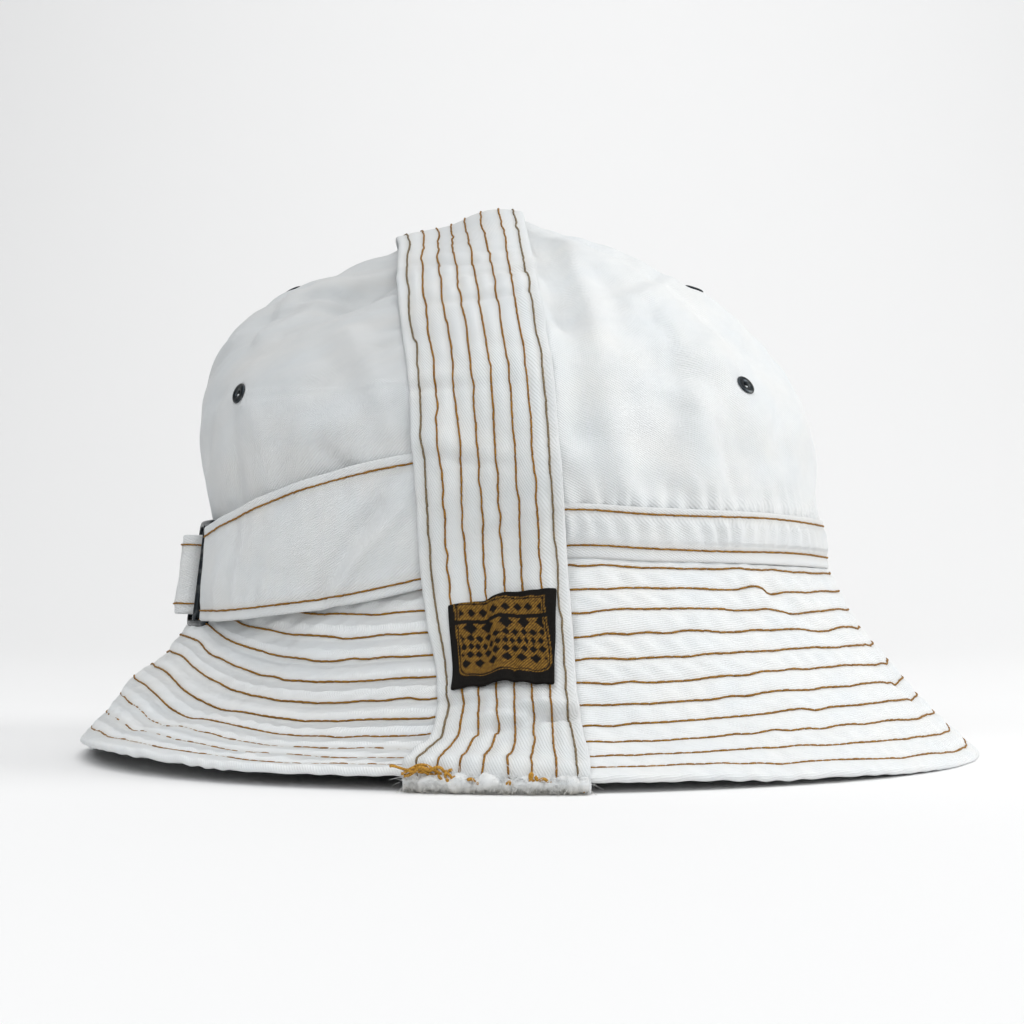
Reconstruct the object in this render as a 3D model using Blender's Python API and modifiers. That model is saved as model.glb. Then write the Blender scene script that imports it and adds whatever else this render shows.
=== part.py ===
"""A sailor-style bucket hat of white cotton twill, resting on its brim.

The front of the hat points to +X and its right side to -Y. The origin is on the floor, under the middle of
the hat. Around the hat, a turn is counted in degrees from the front towards the right side. Up the crown, a
level runs from 0 at its foot to 1 at its top. Out over the brim, a place runs from 0 at the crown's foot to
1 at the hem.
"""
import math

import bmesh
import bpy
from mathutils import Vector

# The main sizes, in metres.
CROWN_LENGTH = 0.202
CROWN_WIDTH = 0.172
CROWN_TOP = 0.1764
JOINT_HEIGHT = 0.061
BRIM_REACH_FRONT = 0.0482
BRIM_REACH_SIDE = 0.0522
BRIM_REACH_BACK = 0.0420
HEM_LIFT = 0.0050

# The thicknesses of the cloth.
CROWN_WALL = 0.0012
BRIM_WALL = 0.0024
BAND_WALL = 0.0012
BELT_WALL = 0.0014
STRAP_WALL = 0.0016
LABEL_WALL = 0.0010

# The clearances between neighbours.
GAP = 0.0005
SEAM_GAP = 0.0008
FLOOR_SINK = 0.0006

# The sizes of the folds and dents: the deepest one and the broadest one.
FOLD_DEPTH = 0.010
FOLD_WIDTH = 0.030

# The strap, the band and the label.
STRAP_WIDTH = 0.0425
STRAP_SHIFT = 0.020
STRAP_DROOP = 0.0014
TUCK = 0.0045
BAND_HEIGHT = 0.0135
STRAP_EASE = 0.0014
LABEL_MARGIN = 0.0070
LABEL_START = 0.0352
LABEL_LENGTH = 0.0275

# The belts and the buckle.
NEAR_BELT_WIDTH = 0.036
FAR_BELT_WIDTH = 0.031
BELT_STAND = 0.0030
BELT_RETURN = 0.008
FREE_END = 0.024
LOOP_BULGE = 0.0045
LOOP_FORWARD = 0.0030
BUCKLE_TURN = 165.5
BUCKLE_HEIGHT = 0.0340
BUCKLE_WIDTH = 0.0200
BUCKLE_WIRE = 0.0024
BUCKLE_LOW = 0.0402
BUCKLE_CORNER = 0.0030

# The eyelets.
EYELET_RADIUS = 0.0033
EYELET_BORE = 0.0014
EYELET_WALL = 0.0005
EYELET_FLANGE = 0.0006
EYELET_GAP = 0.0007

# How finely the cloth is divided.
CROWN_TURNS = 30
CROWN_LEVELS = 16
BRIM_TURNS = 36
BRIM_PLACES = 9
STRAP_LEANS = 34
BAND_TURNS = 30
BELT_STEPS = 14
LOOP_STEPS = 6
EYELET_STEPS = 10
LABEL_COLUMNS = 6
LABEL_ROWS = 5

# Angles, in degrees: the turn of the hat's side and how gently the brim's lip ends there. Then, up from the
# crown's foot, where the strap leaves the band and the belt, starts to lie loosely and starts to bridge hollows.
SIDE_TURN = 90.0
LIP_FADE = 16.0
BAND_LEAN = 14.0
BELT_LEAN = 26.0
TUCK_FADE = 10.0
LOOSE_LEAN = 40.0
LOOSE_FADE = 20.0
BRIDGE_LEAN = 48.0

# Shares: of the brim's way, where tucked cloth ends under the strap. Of the strap's width, its flat middle and
# the slope beside it. Of a belt's way, where it starts to rise to the buckle and where it turns level with it.
TUCK_PLACE = 0.10
TUCK_PLACE_FADE = 0.25
FLAT_ACROSS = 0.12
SLOPE_ACROSS = 0.20
RISE_START = 0.55
LEVEL_START = 0.40
LEVEL_END = 0.90

# How close the points are from which a surface's direction is worked out, and how often a search is halved.
NEARBY_TURN = 0.36
NEARBY_SHARE = 0.004
HALVINGS = 32

HALF_LENGTH = CROWN_LENGTH / 2
HALF_WIDTH = CROWN_WIDTH / 2

# The crown's sections. Height is a share of the way from its foot to its top. Front and back are shares of
# half the crown's length, and side of half its width. The last row is past the top and keeps the top round.
CROWN_SECTIONS = [
    # level, height, front, back, side
    (0.00, 0.000, 1.000, 0.975, 0.985),
    (0.09, 0.130, 0.984, 0.992, 0.998),
    (0.18, 0.260, 0.974, 1.018, 1.005),
    (0.27, 0.390, 0.956, 1.033, 0.985),
    (0.36, 0.500, 0.912, 1.026, 0.925),
    (0.45, 0.600, 0.842, 0.975, 0.820),
    (0.54, 0.690, 0.742, 0.900, 0.700),
    (0.64, 0.772, 0.612, 0.770, 0.560),
    (0.74, 0.845, 0.462, 0.590, 0.420),
    (0.84, 0.912, 0.285, 0.400, 0.280),
    (0.93, 0.975, 0.085, 0.220, 0.130),
    (1.00, 1.000, -0.081, 0.081, 0.000),
    (1.07, 0.975, -0.220, -0.085, -0.130),
]

# The brim's profiles. Rise is a share of the joint's height, reach of the brim's own reach and lift of the
# hem's lift. The slopes are in degrees below level, at the crown and at the hem. Each pull is a share of the
# straight way from the crown to the hem, over which the profile keeps that slope.
BRIM_SECTIONS = [
    # turn, rise, reach, lift, top slope, top pull, hem slope, hem pull
    (0, 0.965, 1.00, -0.10, 64, 0.30, 42, 0.30),
    (20, 0.968, 1.00, -0.10, 63, 0.34, 40, 0.30),
    (45, 0.980, 1.00, 0.30, 63, 0.46, 30, 0.32),
    (68, 0.990, 1.00, 0.48, 62, 0.62, 22, 0.35),
    (84, 1.000, 1.03, 0.66, 62, 0.69, 18, 0.37),
    (104, 0.895, 0.98, 0.80, 64, 0.66, 10, 0.38),
    (125, 0.885, 1.02, 0.90, 68, 0.68, 8, 0.44),
    (148, 0.895, 1.04, 1.20, 66, 0.52, 16, 0.36),
    (165, 0.900, 1.00, 0.90, 62, 0.32, 46, 0.28),
    (180, 0.900, 1.00, 0.60, 62, 0.28, 52, 0.28),
]

# The folds and dents of the crown. Each runs between two spots. Width is a share of the fold width and depth
# of the fold depth, and a ridge has a depth below zero.
CROWN_FOLDS = [
    # from turn, from level, to turn, to level, width, depth
    (128, 0.62, 112, 0.84, 0.60, 0.75),
    (112, 0.84, 150, 0.92, 0.55, 0.45),
    (150, 0.55, 128, 0.62, 0.60, 0.35),
    (122, 0.34, 108, 0.46, 0.45, 0.28),
    (74, 0.50, 66, 0.86, 0.50, 0.30),
    (58, 0.36, 66, 0.24, 0.60, 0.40),
    (46, 0.20, 50, 0.34, 0.45, 0.22),
    (64, 0.46, 60, 0.62, 0.45, 0.22),
    (30, 0.30, 28, 0.52, 0.90, 0.25),
    (-120, 0.66, -150, 0.80, 0.60, 0.50),
    (-60, 0.40, -72, 0.62, 0.60, 0.40),
    (-124, 0.20, -116, 0.42, 0.70, 0.30),
    (-30, 0.34, -22, 0.56, 0.80, 0.30),
]

# The folds and dents of the brim, in the same columns, with places instead of levels.
BRIM_FOLDS = [
    # from turn, from place, to turn, to place, width, depth
    (50, 0.05, 22, 0.50, 0.30, -0.16),
    (44, 0.10, 18, 0.60, 0.34, 0.24),
    (132, 0.20, 150, 0.75, 0.60, 0.22),
    (172, 0.60, 180, 0.62, 0.50, -0.16),
    (-48, 0.30, -30, 0.80, 0.60, 0.24),
    (-130, 0.30, -150, 0.80, 0.60, 0.24),
]

# The strap along its route. Its place runs from 0 at the floor, past 1 at the crown's foot, to 2 at the top.
# Shift is a share of the strap's shift towards the back, and width of its width.
STRAP_SECTIONS = [
    # place, shift, width
    (0.00, 0.28, 1.13),
    (0.15, 0.22, 1.06),
    (0.35, 0.15, 0.98),
    (0.55, 0.14, 0.93),
    (0.75, 0.18, 0.94),
    (1.00, 0.32, 0.99),
    (1.35, 0.50, 1.00),
    (1.65, 0.76, 1.01),
    (2.00, 0.96, 1.00),
]

# Across the strap: the side columns are close together, because cloth tucked under an edge lifts them.
STRAP_ACROSS = (-0.5, -0.34, -0.12, 0.12, 0.34, 0.5)
STRAP_BRIM_PLACES = (1.0, 0.9, 0.78, 0.66, 0.54, 0.42, 0.30, 0.18, 0.06)

# Each belt on its way from the strap to the buckle. Middle is a share of the joint's height, width of the
# belt's width, and the stands are shares of the belt's stand: how far its edges stand off the hat.
BELT_SECTIONS = [
    # way, middle, width, top stand, low stand
    (0.00, 1.195, 1.05, 0.00, 0.00),
    (0.25, 1.120, 1.08, 0.15, 0.50),
    (0.50, 1.050, 1.03, 0.30, 0.90),
    (0.75, 0.985, 0.93, 0.60, 0.90),
    (1.00, 0.935, 0.78, 1.00, 1.00),
]

# The colour, roughness and metallic value of each material.
LOOKS = {
    "crown_twill": ((0.80, 0.83, 0.86), 0.85, 0.0),
    "brim_twill": ((0.84, 0.86, 0.88), 0.85, 0.0),
    "strap_twill": ((0.88, 0.89, 0.90), 0.85, 0.0),
    "belt_twill": ((0.83, 0.85, 0.87), 0.85, 0.0),
    "label_cloth": ((0.03, 0.025, 0.02), 0.70, 0.0),
    "dark_metal": ((0.05, 0.05, 0.05), 0.35, 1.0),
}

# The eyelets: name, turn and level.
EYELETS = [
    ("eyelet_front_right", 40.5, 0.335),
    ("eyelet_front_left", -40.5, 0.335),
    ("eyelet_front_top", 6.0, 0.66),
    ("eyelet_back_right", 143.0, 0.335),
    ("eyelet_back_left", -143.0, 0.335),
    ("eyelet_back_top", 176.0, 0.66),
]


def row_at(rows, key):
    """The columns after the first of a table, read smoothly between its rows."""
    last = len(rows) - 2
    index = 0
    while index < last and rows[index + 1][0] <= key:
        index += 1
    before, low = rows[max(index - 1, 0)], rows[index]
    high, after = rows[index + 1], rows[min(index + 2, len(rows) - 1)]
    span = high[0] - low[0]
    share = (key - low[0]) / span
    values = []
    for column in range(1, len(low)):
        rise_low = (high[column] - before[column]) / (high[0] - before[0]) * span
        rise_high = (after[column] - low[column]) / (after[0] - low[0]) * span
        step = high[column] - low[column]
        bend = 3 * step - 2 * rise_low - rise_high
        twist = rise_low + rise_high - 2 * step
        values.append(low[column] + share * (rise_low + share * (bend + share * twist)))
    return values


def mix(low, high, share):
    """The value at a share of the way from low to high."""
    return low + (high - low) * share


def ease(share):
    """A share from 0 to 1 that starts and ends gently."""
    share = min(max(share, 0.0), 1.0)
    return share * share * (3 - 2 * share)


def ends_middle():
    """How far the hat's middle is in front of the crown's middle."""
    _, front, back, _ = row_at(CROWN_SECTIONS, 0.0)
    return (front * HALF_LENGTH + BRIM_REACH_FRONT - back * HALF_LENGTH - BRIM_REACH_BACK) / 2


CENTRE_X = -ends_middle()


def wrapped(turn):
    """A turn between -180 and 180."""
    return turn - 360 if turn > 180 else turn


def joint_height(turn):
    """How high the joint between crown and brim is."""
    return row_at(BRIM_SECTIONS, abs(turn))[0] * JOINT_HEIGHT


def crown_section(level):
    """Height share, middle, half length and half width of the crown's section at a level."""
    height, front, back, side = row_at(CROWN_SECTIONS, level)
    middle = CENTRE_X + (front - back) / 2 * HALF_LENGTH
    return height, middle, (front + back) / 2 * HALF_LENGTH, side * HALF_WIDTH


def crown_base(turn, level):
    """A point of the crown's outer face before it is folded."""
    height, middle, half_length, half_width = crown_section(level)
    angle = math.radians(turn)
    foot = joint_height(turn)
    x = middle + half_length * math.cos(angle)
    y = -half_width * math.sin(angle)
    return Vector((x, y, mix(foot, CROWN_TOP, height)))


def joint_frame(turn):
    """The joint's point and its level outward direction."""
    _, _, half_length, half_width = crown_section(0.0)
    angle = math.radians(turn)
    outward = Vector((math.cos(angle) / half_length, -math.sin(angle) / half_width, 0.0)).normalized()
    return crown_base(turn, 0.0), outward


def brim_reach(turn):
    """How far the brim reaches out from the joint, seen from above."""
    share = row_at(BRIM_SECTIONS, abs(turn))[1]
    end = BRIM_REACH_FRONT if abs(turn) <= SIDE_TURN else BRIM_REACH_BACK
    return share * mix(end, BRIM_REACH_SIDE, ease(1 - abs(abs(turn) - SIDE_TURN) / SIDE_TURN))


def brim_base(turn, place):
    """A point of the brim's upper face before it is folded."""
    _, _, lift, top_slope, top_pull, hem_slope, hem_pull = row_at(BRIM_SECTIONS, abs(turn))
    joint, outward = joint_frame(turn)
    top_angle, hem_angle = math.radians(top_slope), math.radians(hem_slope)
    reach = brim_reach(turn)
    drop = joint.z - lift * HEM_LIFT - BRIM_WALL * math.cos(hem_angle)
    way = math.hypot(reach, drop)
    lip = BAND_WALL * ease((SIDE_TURN + LIP_FADE / 2 - abs(turn)) / LIP_FADE)
    outs = (lip, lip + way * top_pull * math.cos(top_angle),
            reach - way * hem_pull * math.cos(hem_angle), reach)
    falls = (0.0, way * top_pull * math.sin(top_angle),
             drop - way * hem_pull * math.sin(hem_angle), drop)
    left = 1 - place
    weights = (left ** 3, 3 * left * left * place, 3 * left * place * place, place ** 3)
    out = sum(weight * value for weight, value in zip(weights, outs))
    fall = sum(weight * value for weight, value in zip(weights, falls))
    return joint + outward * out - Vector((0.0, 0.0, fall))


def outward_at(base, turn, share):
    """The direction that points out of a surface, from points close by."""
    along = base(turn + NEARBY_TURN, share) - base(turn - NEARBY_TURN, share)
    low, high = max(share - NEARBY_SHARE, 0.0), min(share + NEARBY_SHARE, 1.0)
    if high == 1.0:
        high, low = 1.0 - NEARBY_SHARE, 1.0 - 3 * NEARBY_SHARE
    upward = base(turn, high) - base(turn, low)
    normal = upward.cross(along)
    if normal.z < 0 and base is brim_base:
        normal.negate()
    if base is crown_base and normal.dot(base(turn, share) - Vector((CENTRE_X, 0.0, JOINT_HEIGHT))) < 0:
        normal.negate()
    return normal.normalized()


def stroke_points(base, fold, steps=8):
    """Points along a fold's middle line."""
    turn_a, share_a, turn_b, share_b = fold[:4]
    return [base(mix(turn_a, turn_b, step / steps), mix(share_a, share_b, step / steps))
            for step in range(steps + 1)]


def distance_to(point, line):
    """The distance from a point to a line of points."""
    best = math.inf
    for start, end in zip(line, line[1:]):
        way = end - start
        share = min(max((point - start).dot(way) / way.length_squared, 0.0), 1.0)
        best = min(best, (point - start - way * share).length)
    return best


def prepare(base, folds):
    """Each fold's middle line, width and depth in metres."""
    return [(stroke_points(base, fold), fold[4] * FOLD_WIDTH / 2, fold[5] * FOLD_DEPTH) for fold in folds]


CROWN_STROKES = prepare(crown_base, CROWN_FOLDS)
BRIM_STROKES = prepare(brim_base, BRIM_FOLDS)


def folded(base, strokes, turn, share):
    """A point of a surface with its folds."""
    point = base(turn, share)
    depth = sum(deep * math.exp(-(distance_to(point, line) / width) ** 2) for line, width, deep in strokes)
    return point - outward_at(base, turn, share) * depth


def crown_point(turn, level):
    """A point of the crown's outer face."""
    if level >= 1.0:
        return crown_base(turn, 1.0)
    return folded(crown_base, CROWN_STROKES, turn, level)


def brim_point(turn, place):
    """A point of the brim's upper face."""
    return folded(brim_base, BRIM_STROKES, turn, place)


def crown_spot(x, lean):
    """Turn and level of the crown's outer face at x, seen from the middle of its foot at an angle.

    The angle lean runs from 0 on the right side, over the top, to 180 on the left side."""
    goal = math.radians(min(lean, 180 - lean))
    low, high, turn = 0.0, 1.0, SIDE_TURN
    for _ in range(HALVINGS):
        level = (low + high) / 2
        height, middle, half_length, half_width = crown_section(level)
        share = (x - middle) / half_length
        if abs(share) >= 1:
            high = level
            continue
        turn = math.degrees(math.acos(share))
        side = half_width * math.sin(math.radians(turn))
        rise = height * (CROWN_TOP - joint_height(turn))
        if math.atan2(rise, side) < goal:
            low = level
        else:
            high = level
    return (turn if lean <= 90 else -turn), (low + high) / 2


def brim_spot(x, place, side):
    """The turn at which the brim's upper face is met at x, on the right side (1) or the left (-1)."""
    low, high = 0.0, 180.0
    for _ in range(HALVINGS):
        turn = (low + high) / 2
        if brim_base(turn, place).x > x:
            low = turn
        else:
            high = turn
    return side * (low + high) / 2


def share_at(base, turn, height):
    """The share of a surface's way at which it is at a height: up the crown, or down the brim."""
    low, high = 0.0, 1.0
    for _ in range(HALVINGS):
        share = (low + high) / 2
        reached = base(turn, share).z
        if (reached < height) == (base is crown_base):
            low = share
        else:
            high = share
    return low


def hat_stand(turn, height):
    """How far out of the joint's outline the hat's face is at a height."""
    joint, outward = joint_frame(turn)
    base = crown_base if height > joint.z else brim_base
    return (base(turn, share_at(base, turn, height)) - joint).dot(outward)


def turn_along(turn, distance, steps=4):
    """The turn reached by following the joint's outline for a distance."""
    for _ in range(steps):
        ahead = joint_frame(turn + 0.5)[0]
        behind = joint_frame(turn - 0.5)[0]
        turn += distance / steps / (ahead - behind).length
    return turn


def belt_point(turn, height, low, top, stand):
    """A point a stand outside the straight line between a belt's edges, which lie on the hat."""
    joint, outward = joint_frame(turn)
    base = mix(hat_stand(turn, low), hat_stand(turn, top), (height - low) / (top - low))
    point = joint + outward * (base + stand)
    point.z = height
    return point


def new_material(piece, look):
    """A plain material of a piece's own, with its look's colour."""
    colour, roughness, metallic = LOOKS[look]
    material = bpy.data.materials.new(piece + "_" + look)
    material.use_nodes = True
    shader = material.node_tree.nodes["Principled BSDF"]
    shader.inputs["Base Color"].default_value = (*colour, 1.0)
    shader.inputs["Roughness"].default_value = roughness
    shader.inputs["Metallic"].default_value = metallic
    return material


def new_object(name, shape, collection, look):
    """An object for a bmesh, in a collection, with a material of its own."""
    mesh = bpy.data.meshes.new(name)
    shape.to_mesh(mesh)
    shape.free()
    mesh.shade_smooth()
    mesh.materials.append(new_material(name, look))
    piece = bpy.data.objects.new(name, mesh)
    collection.objects.link(piece)
    return piece


def sheet_of(columns, rows, place_of):
    """An open sheet: a grid whose corner (column, row) goes to place_of(column, row)."""
    shape = bmesh.new()
    bmesh.ops.create_grid(shape, x_segments=columns, y_segments=rows, size=0.5)
    for corner in shape.verts:
        column = round((corner.co.x + 0.5) * columns)
        row = round((corner.co.y + 0.5) * rows)
        corner.co = place_of(column, row)
    return shape


def thicken(piece, wall, side):
    """Give a sheet its thickness, outwards (1) or inwards (-1) from its face."""
    wall_modifier = piece.modifiers.new("wall", "SOLIDIFY")
    wall_modifier.thickness = wall
    wall_modifier.offset = side
    wall_modifier.use_even_offset = False
    return piece


def cut(piece, cutter, name):
    """Take a cutter's shape out of a piece."""
    modifier = piece.modifiers.new(name, "BOOLEAN")
    modifier.operation = "DIFFERENCE"
    modifier.solver = "EXACT"
    modifier.object = cutter


def make_crown_half(name, middle_turn, collection):
    """One half of the crown, on one side of the strap's seam."""
    shift = SEAM_GAP / 2 if middle_turn == 0 else -SEAM_GAP / 2

    def place_of(column, row):
        turn = wrapped(middle_turn + SIDE_TURN - column * 2 * SIDE_TURN / CROWN_TURNS)
        return crown_point(turn, row / CROWN_LEVELS) + Vector((shift, 0.0, 0.0))

    shape = sheet_of(CROWN_TURNS, CROWN_LEVELS, place_of)
    bmesh.ops.remove_doubles(shape, verts=shape.verts, dist=GAP / 10)
    return thicken(new_object(name, shape, collection, "crown_twill"), CROWN_WALL, -1)


def make_brim_half(name, middle_turn, collection):
    """One half of the brim, just below the crown's foot."""
    shift = SEAM_GAP / 2 if middle_turn == 0 else -SEAM_GAP / 2

    def place_of(column, row):
        turn = wrapped(middle_turn + SIDE_TURN - column * 2 * SIDE_TURN / BRIM_TURNS)
        place = 1 - row / BRIM_PLACES
        return brim_point(turn, place) + Vector((shift, 0.0, -GAP))

    shape = sheet_of(BRIM_TURNS, BRIM_PLACES, place_of)
    return thicken(new_object(name, shape, collection, "brim_twill"), BRIM_WALL, -1)


def make_floor_cutter(collection):
    """A slab under the floor, which flattens the hem where it rests."""
    shape = bmesh.new()
    bmesh.ops.create_cube(shape, size=1.0)
    side = 2 * (CROWN_LENGTH + BRIM_REACH_FRONT + BRIM_REACH_BACK)
    for corner in shape.verts:
        corner.co = Vector((corner.co.x * side, corner.co.y * side, (corner.co.z - 0.5) * JOINT_HEIGHT))
    mesh = bpy.data.meshes.new("floor_cutter")
    shape.to_mesh(mesh)
    shape.free()
    cutter = bpy.data.objects.new("floor_cutter", mesh)
    cutter.hide_render = True
    cutter.display_type = "WIRE"
    collection.objects.link(cutter)
    return cutter


def strap_edges(place):
    """The middle and the half width of the strap at a place along its route."""
    shift, width = row_at(STRAP_SECTIONS, place)
    return CENTRE_X - shift * STRAP_SHIFT, width * STRAP_WIDTH / 2


def strap_stations():
    """The strap's stations from its right end, over the crown, to its left end."""
    brim = [("brim", place, 1) for place in STRAP_BRIM_PLACES]
    crown = [("crown", 180 * step / STRAP_LEANS, 1) for step in range(1, STRAP_LEANS)]
    return brim + crown + [("brim", place, -1) for place in reversed(STRAP_BRIM_PLACES)]


def strap_seat(station, across):
    """The point of the hat under the strap at a station and a share of its width."""
    kind, value, side = station
    if kind == "brim":
        middle, half = strap_edges(1 - value)
        x = middle + across * 2 * half
        return brim_point(brim_spot(x, value, side), value)
    middle, half = strap_edges(1 + min(value, 180 - value) / 90)
    x = middle + across * 2 * half
    return crown_point(*crown_spot(x, value))


def tucked_lift(station, across):
    """How much the cloth tucked under the strap's edges lifts it."""
    kind, value, _ = station
    slack = 0.0
    if kind == "brim":
        front = ease(1 - (value - TUCK_PLACE) / TUCK_PLACE_FADE)
        back = front
    else:
        lean = min(value, 180 - value)
        front = ease(1 - (lean - BAND_LEAN) / TUCK_FADE)
        back = ease(1 - (lean - BELT_LEAN) / TUCK_FADE)
        slack = STRAP_EASE * ease((lean - LOOSE_LEAN) / LOOSE_FADE)
    at_edge = ease((abs(across) - FLAT_ACROSS) / SLOPE_ACROSS)
    if across > 0:
        return slack + at_edge * front * (BAND_WALL + 2 * GAP)
    return slack + at_edge * back * (BELT_WALL + 2 * GAP)


def bridge_hollows(stations, seats, passes=6):
    """Lift the seats over the top out of hollows, because the strap is stiffer than the crown under it."""
    high = [index for index, (kind, value, _) in enumerate(stations)
            if kind == "crown" and BRIDGE_LEAN < value < 180 - BRIDGE_LEAN]
    for _ in range(passes):
        for index in high:
            for column, seat in enumerate(seats[index]):
                middle = (seats[index - 1][column] + seats[index + 1][column]) / 2
                if (middle - seat).z > 0:
                    seats[index][column] = middle
    return seats


def strap_grid(lift):
    """Rows of points of a face that lies a lift above the hat along the strap."""
    stations = strap_stations()
    seats = [[strap_seat(station, across) for across in STRAP_ACROSS] for station in stations]
    seats = bridge_hollows(stations, seats)
    rows = []
    for index, station in enumerate(stations):
        row = []
        for column, across in enumerate(STRAP_ACROSS):
            ahead = seats[min(index + 1, len(seats) - 1)][column]
            behind = seats[max(index - 1, 0)][column]
            right = seats[index][min(column + 1, len(STRAP_ACROSS) - 1)]
            left = seats[index][max(column - 1, 0)]
            outward = (right - left).cross(ahead - behind).normalized()
            row.append(seats[index][column] + outward * (lift + tucked_lift(station, across)))
        rows.append(row)
    return rows


def drooped_ends(rows):
    """The strap's rows with one more at each end, which hangs from the hem down to the floor."""
    ends = []
    for row, side in ((rows[0], -1), (rows[-1], 1)):
        outer = Vector((0.0, side * STRAP_DROOP, 0.0))
        ends.append([Vector((point.x + outer.x, point.y + outer.y, -FLOOR_SINK)) for point in row])
    return [ends[0]] + rows + [ends[1]]


def make_strap(collection):
    """The centre strap, from floor to floor over the crown."""
    rows = drooped_ends(strap_grid(GAP))
    shape = sheet_of(len(STRAP_ACROSS) - 1, len(rows) - 1, lambda column, row: rows[row][column])
    return thicken(new_object("centre_strap", shape, collection, "strap_twill"), STRAP_WALL, 1)


def make_label(collection):
    """The woven label on the right end of the strap, over the foot of the crown."""
    rows = strap_grid(GAP + STRAP_WALL + GAP)[:len(STRAP_BRIM_PLACES) + 3]
    middle = len(STRAP_ACROSS) // 2
    ways = [0.0]
    for low, high in zip(rows, rows[1:]):
        ways.append(ways[-1] + (high[middle] - low[middle]).length)

    def point_on(row_position, share):
        row = min(int(row_position), len(rows) - 2)
        across = mix(STRAP_ACROSS[0], STRAP_ACROSS[-1], share)
        column = max(index for index in range(len(STRAP_ACROSS) - 1) if STRAP_ACROSS[index] <= across)
        span = STRAP_ACROSS[column + 1] - STRAP_ACROSS[column]
        part_way = (across - STRAP_ACROSS[column]) / span
        low = rows[row][column].lerp(rows[row][column + 1], part_way)
        high = rows[row + 1][column].lerp(rows[row + 1][column + 1], part_way)
        return low.lerp(high, row_position - row)

    def place_of(column, row):
        goal = LABEL_START + LABEL_LENGTH * row / LABEL_ROWS
        index = max(step for step in range(len(ways) - 1) if ways[step] <= goal)
        position = index + (goal - ways[index]) / (ways[index + 1] - ways[index])
        margin = LABEL_MARGIN / STRAP_WIDTH
        return point_on(position, mix(margin, 1 - margin, column / LABEL_COLUMNS))

    shape = sheet_of(LABEL_COLUMNS, LABEL_ROWS, place_of)
    return thicken(new_object("label", shape, collection, "label_cloth"), LABEL_WALL, 1)


def make_band(collection):
    """The strip round the front of the crown's foot, with its ends under the strap."""
    middle, half = strap_edges(1.0)
    edge = middle + half - TUCK
    _, centre, half_length, _ = crown_section(0.0)
    end_turn = math.degrees(math.acos((edge - centre) / half_length))

    def place_of(column, row):
        turn = mix(end_turn, -end_turn, column / BAND_TURNS)
        level = share_at(crown_base, turn, joint_height(turn) + GAP + row / 2 * BAND_HEIGHT)
        return crown_point(turn, level) + outward_at(crown_base, turn, level) * GAP

    shape = sheet_of(BAND_TURNS, 2, place_of)
    return thicken(new_object("front_band", shape, collection, "crown_twill"), BAND_WALL, 1)


def belt_rows(way, width):
    """The low and top edge of a belt, and how far they stand off, at a share of its way."""
    middle, share, top_stand, low_stand = row_at(BELT_SECTIONS, way)
    half = share * width / 2
    return (middle * JOINT_HEIGHT - half, middle * JOINT_HEIGHT + half,
            low_stand * BELT_STAND, top_stand * BELT_STAND)


def bar_stand():
    """How far the buckle's bars are off the hat: room for a belt's return behind them."""
    return BUCKLE_WIRE / 2 + GAP + BELT_WALL + GAP


def bar_turn(share):
    """The turn of a bar of the buckle: -1 the near one, 0 the middle one, 1 the far one."""
    return turn_along(BUCKLE_TURN, share * BUCKLE_WIDTH / 2)


def belt_start(side):
    """The turn at which a belt ends under the strap's back edge."""
    middle, half = strap_edges(1.0)
    _, centre, half_length, _ = crown_section(0.0)
    return side * math.degrees(math.acos((middle - half + TUCK - centre) / half_length))


def near_belt_route():
    """Way, turn and stand of the near belt, which ends in a loop round the near bar."""
    start, bar = belt_start(1), bar_turn(-1)
    over = bar_stand() + BUCKLE_WIRE / 2 + GAP
    loop = BUCKLE_WIRE / 2 + GAP
    route = []
    for step in range(BELT_STEPS + 1):
        way = step / BELT_STEPS
        rise = ease((way - RISE_START) / (1 - RISE_START))
        route.append((way, mix(start, bar, way), GAP * (1 - rise) + over * rise, 1 - rise))
    for step in range(1, LOOP_STEPS + 1):
        angle = math.pi * step / LOOP_STEPS
        turn = turn_along(bar, loop * math.sin(angle))
        route.append((1.0, turn, bar_stand() + loop * math.cos(angle), 0.0))
    route.append((1.0, turn_along(bar, -BELT_RETURN), bar_stand() - loop, 0.0))
    return route


def far_belt_route():
    """Way, turn and stand of the far belt, which loops loosely round the far bar and back over itself."""
    start, bar = belt_start(-1) + 360, bar_turn(1)
    under = bar_stand() - BUCKLE_WIRE / 2 - GAP
    middle = (under + bar_stand() + LOOP_BULGE) / 2
    route = []
    for step in range(BELT_STEPS + 1):
        way = step / BELT_STEPS
        route.append((way, mix(start, bar, way), mix(GAP + BELT_WALL, under, way), 1 - way))
    for step in range(1, LOOP_STEPS + 1):
        angle = math.pi * step / LOOP_STEPS
        turn = turn_along(bar, -LOOP_FORWARD * math.sin(angle))
        route.append((1.0, turn, middle - (middle - under) * math.cos(angle), 0.0))
    for share in (0.5, 1.0):
        route.append((1.0, turn_along(bar, FREE_END * share), 2 * middle - under - share * GAP, 0.0))
    return route


def make_belt(name, route, width, collection):
    """A belt as a ribbon whose outer face follows its route."""
    def place_of(column, row):
        way, turn, stand, loose = route[column]
        low, top, low_stand, top_stand = belt_rows(way, width)
        extra = mix(low_stand, top_stand, row / 2) * loose
        level_out = ease((way - LEVEL_START) / (LEVEL_END - LEVEL_START))
        line_low = mix(low, BUCKLE_LOW, level_out)
        line_top = mix(top, BUCKLE_LOW + BUCKLE_HEIGHT, level_out)
        return belt_point(wrapped(turn), mix(low, top, row / 2), line_low, line_top, stand + extra)

    shape = sheet_of(len(route) - 1, 2, place_of)
    return thicken(new_object(name, shape, collection, "belt_twill"), BELT_WALL, -1)


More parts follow.
